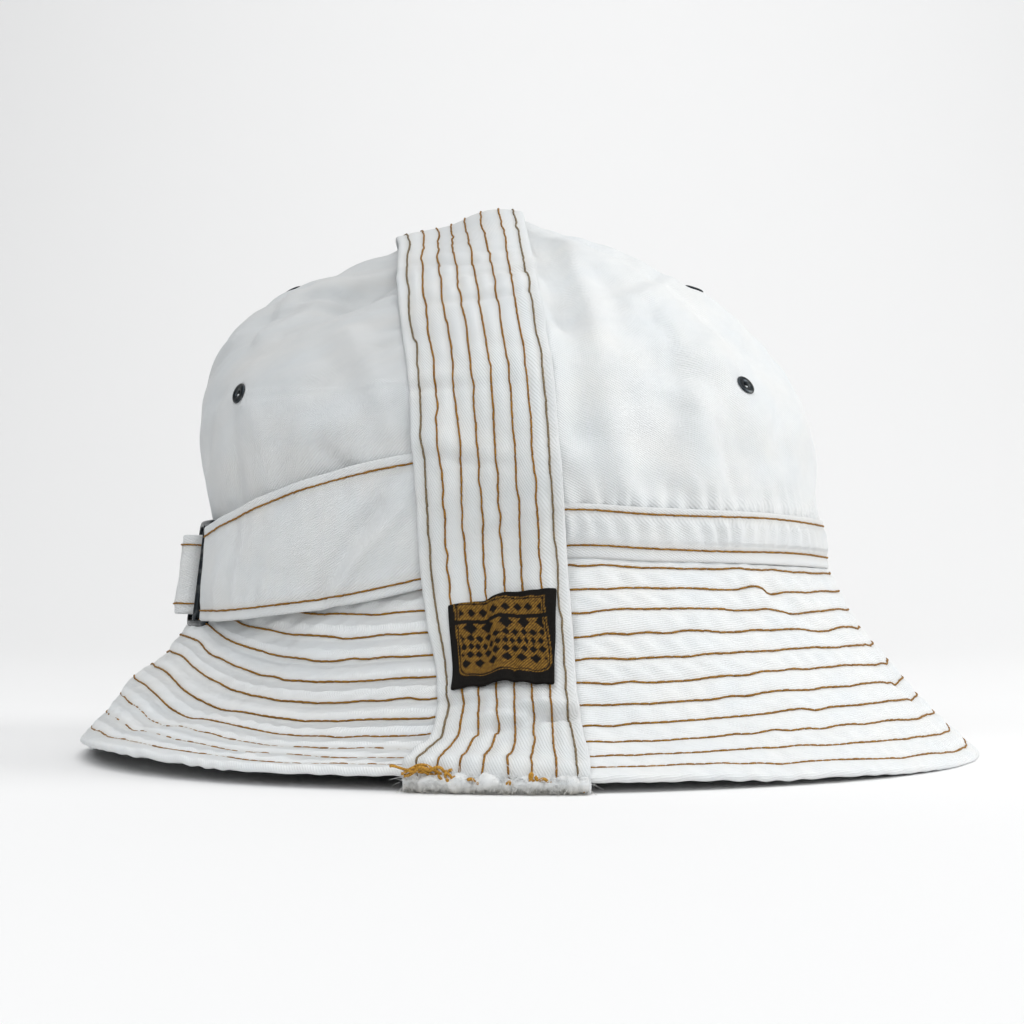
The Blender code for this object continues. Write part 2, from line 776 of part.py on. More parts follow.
def wire_object(name, points, closed, collection):
    """A round wire through points."""
    curve = bpy.data.curves.new(name, "CURVE")
    curve.dimensions = "3D"
    curve.bevel_depth = BUCKLE_WIRE / 2
    curve.bevel_resolution = 2
    curve.use_fill_caps = True
    spline = curve.splines.new("POLY")
    spline.points.add(len(points) - 1)
    for spot, point in zip(spline.points, points):
        spot.co = (*point, 1.0)
    spline.use_cyclic_u = closed
    curve.materials.append(new_material(name, "dark_metal"))
    wire = bpy.data.objects.new(name, curve)
    collection.objects.link(wire)
    return wire


def as_mesh(wire, collection):
    """A curve object's solid as a mesh object with welded caps, in place of the curve."""
    bpy.context.view_layer.update()
    name, matrix = wire.name, wire.matrix_world.copy()
    graph = bpy.context.evaluated_depsgraph_get()
    mesh = bpy.data.meshes.new_from_object(wire.evaluated_get(graph))
    shape = bmesh.new()
    shape.from_mesh(mesh)
    bmesh.ops.remove_doubles(shape, verts=shape.verts, dist=GAP / 100)
    bmesh.ops.recalc_face_normals(shape, faces=shape.faces)
    shape.to_mesh(mesh)
    shape.free()
    mesh.shade_smooth()
    bpy.data.objects.remove(wire, do_unlink=True)
    solid = bpy.data.objects.new(name, mesh)
    solid.matrix_world = matrix
    collection.objects.link(solid)
    return solid


def buckle_spot(across, height):
    """A point of the buckle's middle line: across in metres from its middle bar, and a height."""
    low, top = BUCKLE_LOW, BUCKLE_LOW + BUCKLE_HEIGHT
    return belt_point(turn_along(BUCKLE_TURN, across), height, low, top, bar_stand())


def make_buckle(collection, cutters):
    """The wire slide buckle: a rounded frame with a bar across its middle."""
    half = BUCKLE_WIDTH / 2
    low = BUCKLE_LOW + BUCKLE_WIRE / 2
    top = BUCKLE_LOW + BUCKLE_HEIGHT - BUCKLE_WIRE / 2
    round_part = BUCKLE_CORNER
    outline = []
    for side, height, first in ((1, top, 0), (-1, top, 90), (-1, low, 180), (1, low, 270)):
        for step in range(3):
            angle = math.radians(first + 45 * step)
            across = side * (half - round_part) + round_part * math.cos(angle)
            up = (1 if height == top else -1)
            outline.append((across, height - up * round_part + round_part * math.sin(angle)))
        if first in (0, 180):
            outline.append((0.0, height))
    points = [buckle_spot(*spot) for spot in outline]
    frame = as_mesh(wire_object("buckle", points, True, collection), collection)
    bar_points = [buckle_spot(0.0, mix(low, top, share)) for share in (0.0, 0.5, 1.0)]
    bar = as_mesh(wire_object("buckle_bar", bar_points, False, cutters), cutters)
    bar.hide_render = True
    bar.display_type = "WIRE"
    joined = frame.modifiers.new("bar", "BOOLEAN")
    joined.operation = "UNION"
    joined.solver = "EXACT"
    joined.object = bar
    return frame


def eyelet_matrix(turn, level):
    """Where an eyelet sits: on the crown's face, along its outward direction."""
    point = crown_point(turn, level)
    outward = outward_at(crown_base, turn, level)
    turned = outward.to_track_quat("Z", "Y").to_matrix().to_4x4()
    turned.translation = point
    return turned


def make_eyelet(name, matrix, collection):
    """A metal eyelet: a flange outside, a barrel through the cloth and a flange inside."""
    barrel = EYELET_BORE + EYELET_WALL
    inside = -CROWN_WALL - EYELET_GAP
    section = [
        (EYELET_BORE, EYELET_GAP + EYELET_FLANGE),
        (EYELET_RADIUS - EYELET_FLANGE / 2, EYELET_GAP + EYELET_FLANGE),
        (EYELET_RADIUS, EYELET_GAP),
        (barrel, EYELET_GAP),
        (barrel, inside),
        (EYELET_RADIUS, inside),
        (EYELET_RADIUS, inside - EYELET_WALL),
        (EYELET_BORE, inside - EYELET_WALL),
    ]
    mesh = bpy.data.meshes.new(name)
    count = len(section)
    edges = [(index, (index + 1) % count) for index in range(count)]
    mesh.from_pydata([(radius, 0.0, height) for radius, height in section], edges, [])
    mesh.materials.append(new_material(name, "dark_metal"))
    eyelet = bpy.data.objects.new(name, mesh)
    collection.objects.link(eyelet)
    eyelet.matrix_world = matrix
    turned = eyelet.modifiers.new("turned", "SCREW")
    turned.axis = "Z"
    turned.steps = EYELET_STEPS
    turned.render_steps = EYELET_STEPS
    turned.use_merge_vertices = True
    turned.merge_threshold = GAP / 10
    return eyelet


def make_hole_cutter(name, matrix, cutters):
    """A round cutter for an eyelet's hole through the crown."""
    radius = EYELET_BORE + EYELET_WALL + GAP
    shape = bmesh.new()
    bmesh.ops.create_cone(shape, cap_ends=True, segments=EYELET_STEPS, radius1=radius, radius2=radius,
                          depth=2 * (CROWN_WALL + EYELET_RADIUS))
    mesh = bpy.data.meshes.new(name)
    shape.to_mesh(mesh)
    shape.free()
    cutter = bpy.data.objects.new(name, mesh)
    cutter.matrix_world = matrix
    cutter.hide_render = True
    cutter.display_type = "WIRE"
    cutters.objects.link(cutter)
    return cutter


def empty_scene():
    """Remove whatever the scene holds."""
    for item in list(bpy.data.objects):
        bpy.data.objects.remove(item, do_unlink=True)


def build():
    """Make every piece of the hat."""
    empty_scene()
    hat = bpy.data.collections.new("sailor_bucket_hat")
    cutters = bpy.data.collections.new("cutters")
    bpy.context.scene.collection.children.link(hat)
    bpy.context.scene.collection.children.link(cutters)
    floor = make_floor_cutter(cutters)
    crown = {
        "front": make_crown_half("crown_front", 0, hat),
        "back": make_crown_half("crown_back", 180, hat),
    }
    for name, turn, level in EYELETS:
        matrix = eyelet_matrix(turn, level)
        make_eyelet(name, matrix, hat)
        cutter = make_hole_cutter(name + "_hole", matrix, cutters)
        cut(crown["front" if abs(turn) < SIDE_TURN else "back"], cutter, name)
    for name, middle_turn in (("brim_front", 0), ("brim_back", 180)):
        cut(make_brim_half(name, middle_turn, hat), floor, "flat_rest")
    cut(make_strap(hat), floor, "flat_rest")
    make_band(hat)
    make_label(hat)
    make_belt("belt_near", near_belt_route(), NEAR_BELT_WIDTH, hat)
    make_belt("belt_far", far_belt_route(), FAR_BELT_WIDTH, hat)
    make_buckle(hat, cutters)


build()
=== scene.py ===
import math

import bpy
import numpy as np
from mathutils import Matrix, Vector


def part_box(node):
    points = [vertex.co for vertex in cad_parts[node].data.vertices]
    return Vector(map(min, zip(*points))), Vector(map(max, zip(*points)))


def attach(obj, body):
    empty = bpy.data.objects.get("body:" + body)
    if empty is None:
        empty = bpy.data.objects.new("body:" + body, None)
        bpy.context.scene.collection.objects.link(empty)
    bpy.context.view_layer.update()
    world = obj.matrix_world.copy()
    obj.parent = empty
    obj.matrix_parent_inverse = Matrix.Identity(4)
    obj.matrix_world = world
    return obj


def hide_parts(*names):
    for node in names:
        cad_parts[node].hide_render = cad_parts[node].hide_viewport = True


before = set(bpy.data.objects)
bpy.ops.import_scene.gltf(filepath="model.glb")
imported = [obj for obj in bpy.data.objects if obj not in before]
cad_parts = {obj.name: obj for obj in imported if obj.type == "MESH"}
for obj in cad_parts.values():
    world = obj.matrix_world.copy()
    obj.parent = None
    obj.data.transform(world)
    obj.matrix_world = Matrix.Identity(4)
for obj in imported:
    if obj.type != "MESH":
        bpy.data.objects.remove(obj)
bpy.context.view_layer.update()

# The looks of a sailor-style bucket hat: stitched white twill, a woven label, a wire buckle and metal
# eyelets.
#
# The front of the hat points to +X and its right side to -Y. The origin is on the floor, under the middle of
# the hat. Around the hat, a turn is counted in degrees from the front towards the right side. Up the crown, a
# level runs from 0 at its foot to 1 at its top. Out over the brim, a place runs from 0 at the crown's foot to
# 1 at the hem. A cloth is a grid of points, rows by columns, seen from outside: rows go up and columns go
# right.

# The main sizes, in metres.
CROWN_LENGTH = 0.202
CROWN_WIDTH = 0.172
CROWN_TOP = 0.1764
JOINT_HEIGHT = 0.061
BRIM_REACH_FRONT = 0.0482
BRIM_REACH_SIDE = 0.0522
BRIM_REACH_BACK = 0.0420
HEM_LIFT = 0.0050

# The thicknesses of the cloth, and the clearances between neighbours.
CROWN_WALL = 0.0012
BRIM_WALL = 0.0024
BAND_WALL = 0.0012
BELT_WALL = 0.0014
STRAP_WALL = 0.0016
LABEL_WALL = 0.0010
GAP = 0.0005
FLOOR_GAP = 0.0002

# The sizes of the folds and dents: the deepest one and the broadest one.
FOLD_DEPTH = 0.010
FOLD_WIDTH = 0.030

# The strap, the band and the label.
STRAP_WIDTH = 0.0425
STRAP_SHIFT = 0.020
STRAP_DROOP = 0.0014
TUCK = 0.0045
BAND_HEIGHT = 0.0144
STRAP_EASE = 0.0014
LABEL_MARGIN = 0.0066
LABEL_LENGTH = 0.0275
LABEL_SHEAR = 0.062
LABEL_ASIDE = 0.012
LABEL_BORDER = 0.0013
LABEL_FOOT = 0.0030
LABEL_BAR = 0.0062
LABEL_CORNER = 0.0036
LABEL_LINE = 0.00040

# The belts and the buckle.
NEAR_BELT_WIDTH = 0.036
FAR_BELT_WIDTH = 0.031
BELT_STAND = 0.0030
BELT_RETURN = 0.008
FREE_END = 0.024
LOOP_BULGE = 0.0045
LOOP_FORWARD = 0.0030
BUCKLE_TURN = 163.5
BUCKLE_LEAN = 0.0035
BUCKLE_HEIGHT = 0.0340
BUCKLE_WIDTH = 0.0200
BUCKLE_WIRE = 0.0024
BUCKLE_LOW = 0.0402
BUCKLE_CORNER = 0.0030

# The eyelets.
EYELET_RADIUS = 0.0033
EYELET_BORE = 0.0010
EYELET_FLANGE = 0.0009
EYELET_GAP = 0.0004

# The stitches: pitch, length and radius of a thread, and the rows on each piece.
STITCH_PITCH = 0.0027
STITCH_LENGTH = 0.0029
STITCH_RADIUS = 0.00032
STITCH_JITTER = 0.02
STITCH_LENGTHS = (0.96, 1.04)
STITCH_WIDTHS = (0.88, 1.1)
STITCH_SINKS = (0.5, 1.6)
STITCH_DRIFT = 0.45
BRIM_ROWS = 11
TOP_ROW_MARGIN = 0.0016
BAND_ROW_MARGIN = 0.0013
BAND_LOW_ROW = 0.0030
BELT_ROW_MARGIN = 0.0030
STRAP_SIDES = (-0.462, 0.458)
STRAP_EDGE_SHARE = 0.405
STRAP_ROW_SHARE = 0.120

# How wide a seam's groove and its shoulders are, and how far the seam's greyer tone reaches: partly painted
# shade in the groove and partly a stain.
BRIM_GROOVE = 0.0012
BRIM_SHOULDER = 0.0028
BAND_GROOVE = 0.0011
STRAP_GROOVE = 0.0010
STRAP_SHOULDER = 0.0022
STRAP_PUFF = 0.0018
BELT_GROOVE = 0.0011
BELT_SHOULDER = 0.0035
SEAM_SHADE_AND_STAIN_REACH = 0.0009

# The gathers: how far apart they are, and how high they rise.
PUCKER_PITCH = 0.0056
PUCKER_RISE = 0.00080
PUCKER_REACH = 0.011
PUCKER_UNEVEN = 0.006
BRIM_GATHER_PITCH = 0.0085
BAND_GATHER_PITCH = 0.0060
BAND_GATHER_RISE = 0.0009
BELT_GATHER_PITCH = 0.0062
BELT_GATHER_RISE = 0.00022

# The sizes of the cloth's grids.
CLOTH_STEP = 0.0013
STRAP_STEP = 0.0008
BRIM_STEP = 0.00105
BRIM_COARSE = 1.15
BRIM_PROFILE = 160
EVEN_BRIM = 0.050
CROWN_RISE = 0.135
BAND_LENGTH = 0.27
BAND_ROWS = 13
BELT_ROWS = 5
LABEL_COLUMNS = 96
LABEL_ROWS = 88
LATTICE = 64
TOP_LEVEL = 0.995

# Angles, in degrees, and shares that shape the strap and the belts.
SIDE_TURN = 90.0
LIP_FADE = 16.0
BAND_LEAN = 14.0
BELT_LEAN = 26.0
TUCK_FADE = 10.0
LOOSE_LEAN = 40.0
LOOSE_FADE = 20.0
BRIDGE_LEAN = 48.0
TUCK_PLACE = 0.10
TUCK_PLACE_FADE = 0.25
FLAT_ACROSS = 0.12
SLOPE_ACROSS = 0.20
RISE_START = 0.55
LEVEL_START = 0.40
LEVEL_END = 0.90
NEARBY_TURN = 0.36
NEARBY_SHARE = 0.004
HALVINGS = 32

HALF_LENGTH = CROWN_LENGTH / 2
HALF_WIDTH = CROWN_WIDTH / 2

# Colours, as shares of full red, green and blue light.
COOL_WHITE = (0.71, 0.745, 0.765)
WARM_WHITE = (0.775, 0.775, 0.76)
# Painted shade in the twill's valleys, and the greyer random tone of the slubs.
TWILL_SHADE_AND_SLUB_GREY = (0.50, 0.53, 0.55)
# Along the stitches: partly painted shade in the seams' grooves and partly a warm stain.
SEAM_SHADE_AND_STAIN = (0.60, 0.57, 0.51)
# The fray's colour towards the floor.
FRAY_LOW_BROWN = (0.36, 0.31, 0.22)
# The dark colours of the threads are painted shade: between their twisted plies and where each stitch dives
# into the cloth.
THREAD_DARK = (0.090, 0.032, 0.003)
THREAD_MIDDLE = (0.27, 0.118, 0.010)
THREAD_LIGHT = (0.44, 0.220, 0.030)
EDGE_THREAD_DARK = (0.07, 0.045, 0.020)
EDGE_THREAD_MIDDLE = (0.20, 0.145, 0.075)
EDGE_THREAD_LIGHT = (0.32, 0.25, 0.15)
LOOSE_THREAD_DARK = (0.30, 0.12, 0.008)
LOOSE_THREAD_MIDDLE = (0.46, 0.22, 0.020)
LOOSE_THREAD_LIGHT = (0.60, 0.34, 0.060)
LABEL_BLACK = (0.006, 0.006, 0.006)
LABEL_BROWN = (0.10, 0.055, 0.015)
LABEL_GOLD = (0.42, 0.22, 0.036)
METAL_DARK = (0.035, 0.042, 0.048)
METAL_WORN = (0.16, 0.165, 0.16)
FLOOR_WHITE = (0.87, 0.87, 0.87)

# The cloths: material, slant of the twill in degrees, and brightness, which is painted light and shade: one
# white cloth made darker on the crown's back and lighter on the brim.
TWILLS = [
    ("crown_front_twill", -62.0, 1.0),
    ("crown_back_twill", 50.0, 0.94),
    ("brim_front_twill", 84.0, 1.07),
    ("brim_back_twill", 30.0, 1.14),
    ("front_band_twill", -62.0, 1.0),
    ("centre_strap_twill", -30.0, 0.97),
    ("belt_twill", 62.0, 0.98),
]
TWILL_PERIOD = 0.00068
YARN_PERIOD = 0.00042
LABEL_RIB = 0.00040

# The camera, and the studio's lights.
CAMERA_SPOT = (-0.006, -0.600, 0.052)
CAMERA_PITCH = 2.48
CAMERA_LENS = 63.28
WORLD_COLOUR = (0.97, 0.985, 1.0, 1.0)
WORLD_STRENGTH = 0.22
SWEEP_START = 0.9
SWEEP = 2.0
LIGHTS = [
    # name, spot, goal, width, height, power, colour
    ("above", (0.0, -0.55, 2.1), (0.0, 0.0, 0.0), 2.3, 1.8, 24.5, (1.0, 1.0, 1.0)),
    ("right", (1.8, -0.15, 0.72), (0.0, 0.0, 0.08), 0.9, 0.9, 18.5, (1.0, 0.99, 0.98)),
    ("left", (-1.1, -1.2, 1.5), (-0.05, 0.0, 0.03), 1.2, 0.8, 7.0, (0.96, 0.98, 1.0)),
    ("front", (0.3, -1.9, 0.70), (0.0, 0.0, 0.02), 1.4, 0.7, 8.5, (1.0, 1.0, 1.0)),
    ("backdrop", (0.3, 1.0, 2.4), (0.2, 2.8, 1.0), 3.0, 0.8, 30.0, (1.0, 1.0, 1.0)),
]

# The crown's sections. Height is a share of the way from its foot to its top. Front and back are shares of
# half the crown's length, and side of half its width. The last row is past the top and keeps the top round.
CROWN_SECTIONS = [
    # level, height, front, back, side
    (0.00, 0.000, 1.000, 0.975, 0.985),
    (0.09, 0.130, 0.984, 0.992, 0.998),
    (0.18, 0.260, 0.974, 1.018, 1.005),
    (0.27, 0.390, 0.956, 1.033, 0.985),
    (0.36, 0.500, 0.912, 1.026, 0.925),
    (0.45, 0.600, 0.842, 0.975, 0.820),
    (0.54, 0.690, 0.742, 0.900, 0.700),
    (0.64, 0.772, 0.612, 0.770, 0.560),
    (0.74, 0.845, 0.462, 0.590, 0.420),
    (0.84, 0.912, 0.285, 0.400, 0.280),
    (0.93, 0.975, 0.085, 0.220, 0.130),
    (1.00, 1.000, -0.081, 0.081, 0.000),
    (1.07, 0.975, -0.220, -0.085, -0.130),
]

# The brim's profiles. Rise is a share of the joint's height, reach of the brim's own reach and lift of the
# hem's lift. The slopes are in degrees below level, at the crown and at the hem. Each pull is a share of the
# straight way from the crown to the hem, over which the profile keeps that slope.
BRIM_SECTIONS = [
    # turn, rise, reach, lift, top slope, top pull, hem slope, hem pull
    (0, 0.965, 1.00, -0.10, 64, 0.30, 42, 0.30),
    (20, 0.968, 1.00, -0.10, 63, 0.34, 40, 0.30),
    (45, 0.980, 1.00, 0.30, 63, 0.46, 30, 0.32),
    (68, 0.990, 1.00, 0.48, 62, 0.62, 22, 0.35),
    (84, 1.000, 1.03, 0.66, 62, 0.69, 18, 0.37),
    (104, 0.895, 0.98, 0.80, 64, 0.66, 10, 0.38),
    (125, 0.885, 1.02, 0.90, 68, 0.68, 8, 0.44),
    (148, 0.895, 1.04, 1.20, 66, 0.52, 16, 0.36),
    (165, 0.900, 1.00, 0.90, 62, 0.32, 46, 0.28),
    (180, 0.900, 1.00, 0.60, 62, 0.28, 52, 0.28),
]

# The folds and dents of the crown. Each runs between two spots. Width is a share of the fold width and depth
# of the fold depth, and a ridge has a depth below zero.
CROWN_FOLDS = [
    # from turn, from level, to turn, to level, width, depth
    (128, 0.62, 112, 0.84, 0.60, 0.75),
    (112, 0.84, 150, 0.92, 0.55, 0.45),
    (150, 0.55, 128, 0.62, 0.60, 0.35),
    (122, 0.34, 108, 0.46, 0.45, 0.28),
    (74, 0.50, 66, 0.86, 0.50, 0.30),
    (58, 0.36, 66, 0.24, 0.60, 0.40),
    (46, 0.20, 50, 0.34, 0.45, 0.22),
    (64, 0.46, 60, 0.62, 0.45, 0.22),
    (30, 0.30, 28, 0.52, 0.90, 0.25),
    (-120, 0.66, -150, 0.80, 0.60, 0.50),
    (-60, 0.40, -72, 0.62, 0.60, 0.40),
    (-124, 0.20, -116, 0.42, 0.70, 0.30),
    (-30, 0.34, -22, 0.56, 0.80, 0.30),
]

# The folds and dents of the brim, in the same columns, with places instead of levels.
BRIM_FOLDS = [
    # from turn, from place, to turn, to place, width, depth
    (50, 0.05, 22, 0.50, 0.30, -0.16),
    (44, 0.10, 18, 0.60, 0.34, 0.24),
    (132, 0.20, 150, 0.75, 0.60, 0.22),
    (172, 0.60, 180, 0.62, 0.50, -0.16),
    (-48, 0.30, -30, 0.80, 0.60, 0.24),
    (-130, 0.30, -150, 0.80, 0.60, 0.24),
]

# The strap along its route. Its place runs from 0 at the floor, past 1 at the crown's foot, to 2 at the top.
# Shift is a share of the strap's shift towards the back, and width of its width.
STRAP_SECTIONS = [
    # place, shift, width
    (0.00, 0.28, 1.13),
    (0.15, 0.22, 1.06),
    (0.35, 0.15, 0.98),
    (0.55, 0.14, 0.93),
    (0.75, 0.18, 0.94),
    (1.00, 0.32, 0.99),
    (1.35, 0.50, 1.00),
    (1.65, 0.76, 1.01),
    (2.00, 0.96, 1.00),
]
STRAP_BRIM_PLACES = (1.0, 0.9, 0.78, 0.66, 0.54, 0.42, 0.30, 0.18, 0.06)
STRAP_LEANS = 34
STRAP_COLUMNS = 40
STRAP_SMOOTH_START = 0.152
STRAP_SMOOTH_FADE = 0.010
STRAP_CALM_END = 0.164
STRAP_CALM_FADE = 0.012
END_FLARE = 0.06
FLARE_PLACE = 0.6
FRAY_RADIUS = 0.0021
FRAY_STATIONS = 180
FRAY_FIBRES = 1700
FRAY_SIDES = 20
FIBRE_STATIONS = 6
TANGLE_STATIONS = 28

# Each belt on its way from the strap to the buckle. Middle is a share of the joint's height, width of the
# belt's width, and the stands are shares of the belt's stand: how far its edges stand off the hat.
BELT_SECTIONS = [
    # way, middle, width, top stand, low stand
    (0.00, 1.195, 1.05, 0.00, 0.00),
    (0.25, 1.120, 1.08, 0.15, 0.50),
    (0.50, 1.050, 1.03, 0.30, 0.90),
    (0.75, 0.985, 0.93, 0.60, 0.90),
    (1.00, 0.935, 0.78, 1.00, 1.00),
]

# The eyelets, and where they are on the crown.
EYELETS = [
    # name, turn, level
    ("eyelet_front_right", 40.5, 0.335),
    ("eyelet_front_left", -40.5, 0.335),
    ("eyelet_front_top", 6.0, 0.66),
    ("eyelet_back_right", 143.0, 0.335),
    ("eyelet_back_left", -143.0, 0.335),
    ("eyelet_back_top", 176.0, 0.66),
]

# The crown's small creases: turns and levels of three spots, width and rise in metres. A dent falls.
CROWN_CREASES = [
    # turns, levels, width, rise
    ((142.6, 133.4, 126.9), (0.481, 0.648, 0.725), 0.0045, 0.0018),
    ((157.0, 148.0, 137.4), (0.660, 0.710, 0.749), 0.0060, -0.0024),
    ((145.5, 155.0, 134.9), (0.486, 0.655, 0.665), 0.0040, 0.0015),
    ((118.5, 111.6, 108.4), (0.459, 0.360, 0.241), 0.0042, 0.0015),
    ((124.0, 117.0, 114.0), (0.420, 0.330, 0.270), 0.0050, -0.0012),
    ((126.9, 118.0, 109.3), (0.258, 0.262, 0.253), 0.0036, 0.0008),
    ((123.0, 119.5, 117.0), (0.222, 0.198, 0.176), 0.0026, -0.0012),
    ((145.3, 146.0, 148.3), (0.283, 0.220, 0.141), 0.0040, -0.0010),
    ((138.0, 137.0, 136.0), (0.300, 0.240, 0.160), 0.0040, 0.0008),
    ((69.0, 75.0, 77.5), (0.880, 0.560, 0.220), 0.0055, -0.0030),
    ((55.0, 71.5, 71.5), (0.830, 0.444, 0.136), 0.0050, 0.0020),
    ((54.5, 58.5, 62.2), (0.548, 0.450, 0.360), 0.0042, -0.0014),
    ((55.0, 56.0, 56.8), (0.457, 0.400, 0.345), 0.0034, -0.0014),
    ((58.5, 62.5, 67.7), (0.275, 0.200, 0.139), 0.0044, -0.0024),
    ((62.7, 63.0, 63.2), (0.130, 0.110, 0.085), 0.0024, -0.0014),
    ((50.8, 49.6, 49.1), (0.235, 0.180, 0.120), 0.0036, -0.0016),
    ((50.0, 36.0, 34.0), (0.850, 0.700, 0.490), 0.0046, -0.0015),
]

# The near belt's creases: shares along it from the buckle and up it for three spots, width and rise.
BELT_CREASES = [
    # columns, rows, width, rise
    ((0.66, 0.75, 0.84), (0.10, 0.42, 0.66), 0.0024, -0.0017),
    ((0.70, 0.80, 0.90), (0.08, 0.36, 0.60), 0.0022, 0.0012),
    ((0.78, 0.84, 0.90), (0.55, 0.72, 0.86), 0.0022, -0.0011),
    ((0.30, 0.31, 0.32), (0.20, 0.50, 0.80), 0.0032, -0.0008),
    ((0.48, 0.50, 0.51), (0.25, 0.50, 0.75), 0.0034, 0.0007),
]

# The tangles of thread on each raw end of the strap. Reach, rise and height are in metres.
TANGLES = [
    # share along the end, reach, rise, number of swings, height
    (0.06, 0.0125, 0.0012, 1.6, 0.0062),
    (0.10, 0.0100, 0.0011, 2.1, 0.0056),
    (0.14, 0.0110, 0.0009, 2.6, 0.0060),
    (0.09, 0.0080, 0.0014, 1.3, 0.0052),
    (0.24, 0.0040, 0.0016, 1.8, 0.0038),
    (0.26, 0.0030, 0.0013, 1.2, 0.0032),
    (0.41, 0.0055, 0.0009, 1.7, 0.0034),
    (0.44, 0.0030, 0.0010, 1.4, 0.0030),
    (0.57, 0.0022, 0.0008, 1.5, 0.0026),
    (0.70, 0.0020, 0.0022, 1.2, 0.0036),
    (0.75, 0.0050, 0.0008, 1.6, 0.0034),
    (0.95, 0.0022, 0.0008, 1.5, 0.0014),
]

# How far the label is drawn up the strap, across its width.
LABEL_RISE = [
    # share across, rise in metres
    (0.00, 0.0007),
    (0.20, 0.0014),
    (0.36, 0.0012),
    (0.50, 0.0025),
    (0.75, 0.0018),
    (1.00, 0.0009),
]

# The label's rows of lozenges: height above the middle as a share of its length, pitch in metres, and how
# tall and wide each is, as shares of the length and of the pitch.
LABEL_LOZENGES = [
    # middle, pitch, tall, wide
    (0.300, 0.0034, 0.100, 0.80),
    (0.125, 0.0052, 0.150, 0.80),
    (0.010, 0.0026, 0.085, 0.90),
    (-0.080, 0.0020, 0.085, 0.90),
    (-0.170, 0.0026, 0.085, 0.90),
    (-0.270, 0.0040, 0.100, 0.80),
]

# The creases across the strap: height above the floor in metres, slant and bow across the strap in metres,
# width in metres, depth in metres, and the share of the strap's width where each is deepest.
STRAP_CREASES = [
    # height, slant, bow, width, depth, middle
    (0.0158, 0.0036, 0.0006, 0.0022, 0.0021, -0.02),
    (0.0192, -0.0016, 0.0000, 0.0020, 0.0018, 0.30),
    (0.0225, 0.0010, 0.0000, 0.0020, 0.0010, -0.30),
    (0.0880, -0.0020, 0.0012, 0.0034, 0.0007, -0.10),
    (0.1110, 0.0010, 0.0000, 0.0030, 0.0009, -0.35),
    (0.1240, -0.0020, 0.0010, 0.0040, 0.0005, 0.20),
    (0.1387, 0.0030, 0.0010, 0.0024, 0.0010, 0.10),
    (0.1483, 0.0020, 0.0000, 0.0022, 0.0009, 0.30),
    (0.1532, -0.0010, 0.0010, 0.0020, 0.0008, -0.10),
    (0.1580, 0.0015, 0.0000, 0.0020, 0.0007, 0.20),
    (0.1622, 0.0000, 0.0008, 0.0018, 0.0005, 0.00),
]

# A stitch along its thread: share of its length, height and width as shares of its radius, and how much
# painted shade darkens it where it dives into the cloth.
STITCH_STATIONS = [
    # share, height, width, dark
    (0.00, 0.10, 0.70, 1.00),
    (0.16, 0.45, 0.95, 0.35),
    (0.50, 0.60, 1.00, 0.00),
    (0.84, 0.45, 0.95, 0.35),
    (1.00, 0.10, 0.70, 1.00),
]

# The front and the back half of the brim: where its first row of stitches is and how far apart the rows are,
# the slant of its gathers, how far a seam dents it, how high it gathers, and how far its lowest rows are sunk.
BRIM_HALVES = [
    # seed, first row, pitch, slant, dent, gather, sunk rows
    (30, 0.0046, 0.00715, 0.9, -0.00034, 0.00070, (0.40, 0.35, 0.20)),
    (40, 0.0042, 0.0068, -0.6, -0.00020, 0.00095, (0.85, 1.15, 0.95, 0.35)),
]

# The layers of random waves in each cloth. Rise, width and tall are in metres. Slant and lean shear a layer,
# and the number is added to the cloth's seed.
CLOTH_WAVES = {
    # rise, slant, lean, width, tall, number
    "crown": [(0.0015, 0.0, 0.0, 0.034, 0.026, 0),
              (0.0008, 1.0, -1.0, 0.017, 0.011, 1),
              (0.00035, -0.6, 0.0, 0.008, 0.010, 2)],
    "brim_rows": [(0.0006, 0.0, 0.0, 0.030, 0.020, 0),
                  (0.00045, 0.0, 0.0, 0.0060, 0.007, 5)],
    "brim": [(0.0007, 0.0, 0.0, 0.024, 0.018, 3),
             (0.0003, 0.0, 0.0, 0.009, 0.009, 4)],
    "band": [(0.0002, 0.0, 0.0, 0.020, 0.010, 3)],
    "strap": [(0.00060, 0.0, 0.0, 0.020, 0.011, 2),
              (0.00028, 0.0, 0.0, 0.007, 0.006, 3)],
    "label": [(0.0002, 0.0, 0.0, 0.009, 0.014, 1)],
    "belt": [(0.00065, 0.8, -0.4, 0.016, 0.010, 1),
             (0.00018, 0.0, 0.0, 0.006, 0.008, 2)],
}


def curved(low, high, rise_low, rise_high, share):
    """The value at a share of the way from low to high, on a curve with a rise at each end."""
    step = high - low
    bend = 3 * step - 2 * rise_low - rise_high
    twist = rise_low + rise_high - 2 * step
    return low + share * (rise_low + share * (bend + share * twist))


def rows_at(rows, keys):
    """The columns after the first of a table, read smoothly at each key."""
    table = np.array(rows, dtype=float)
    keys = np.asarray(keys, dtype=float)
    index = np.clip(np.searchsorted(table[:, 0], keys, side="right") - 1, 0, len(table) - 2)
    before, low = table[np.maximum(index - 1, 0)], table[index]
    high, after = table[index + 1], table[np.minimum(index + 2, len(table) - 1)]
    span = high[..., :1] - low[..., :1]
    share = (keys[..., None] - low[..., :1]) / span
    rise_low = (high - before) / (high[..., :1] - before[..., :1]) * span
    rise_high = (after - low) / (after[..., :1] - low[..., :1]) * span
    return np.moveaxis(curved(low, high, rise_low, rise_high, share)[..., 1:], -1, 0)


def mix(low, high, share):
    """The value at a share of the way from low to high."""
    return low + (high - low) * share


def ease(share):
    """A share from 0 to 1 that starts and ends gently."""
    share = np.clip(share, 0.0, 1.0)
    return share * share * (3 - 2 * share)


def unit(vectors):
    """Vectors made one long."""
    return vectors / np.maximum(np.linalg.norm(vectors, axis=-1, keepdims=True), 1e-12)


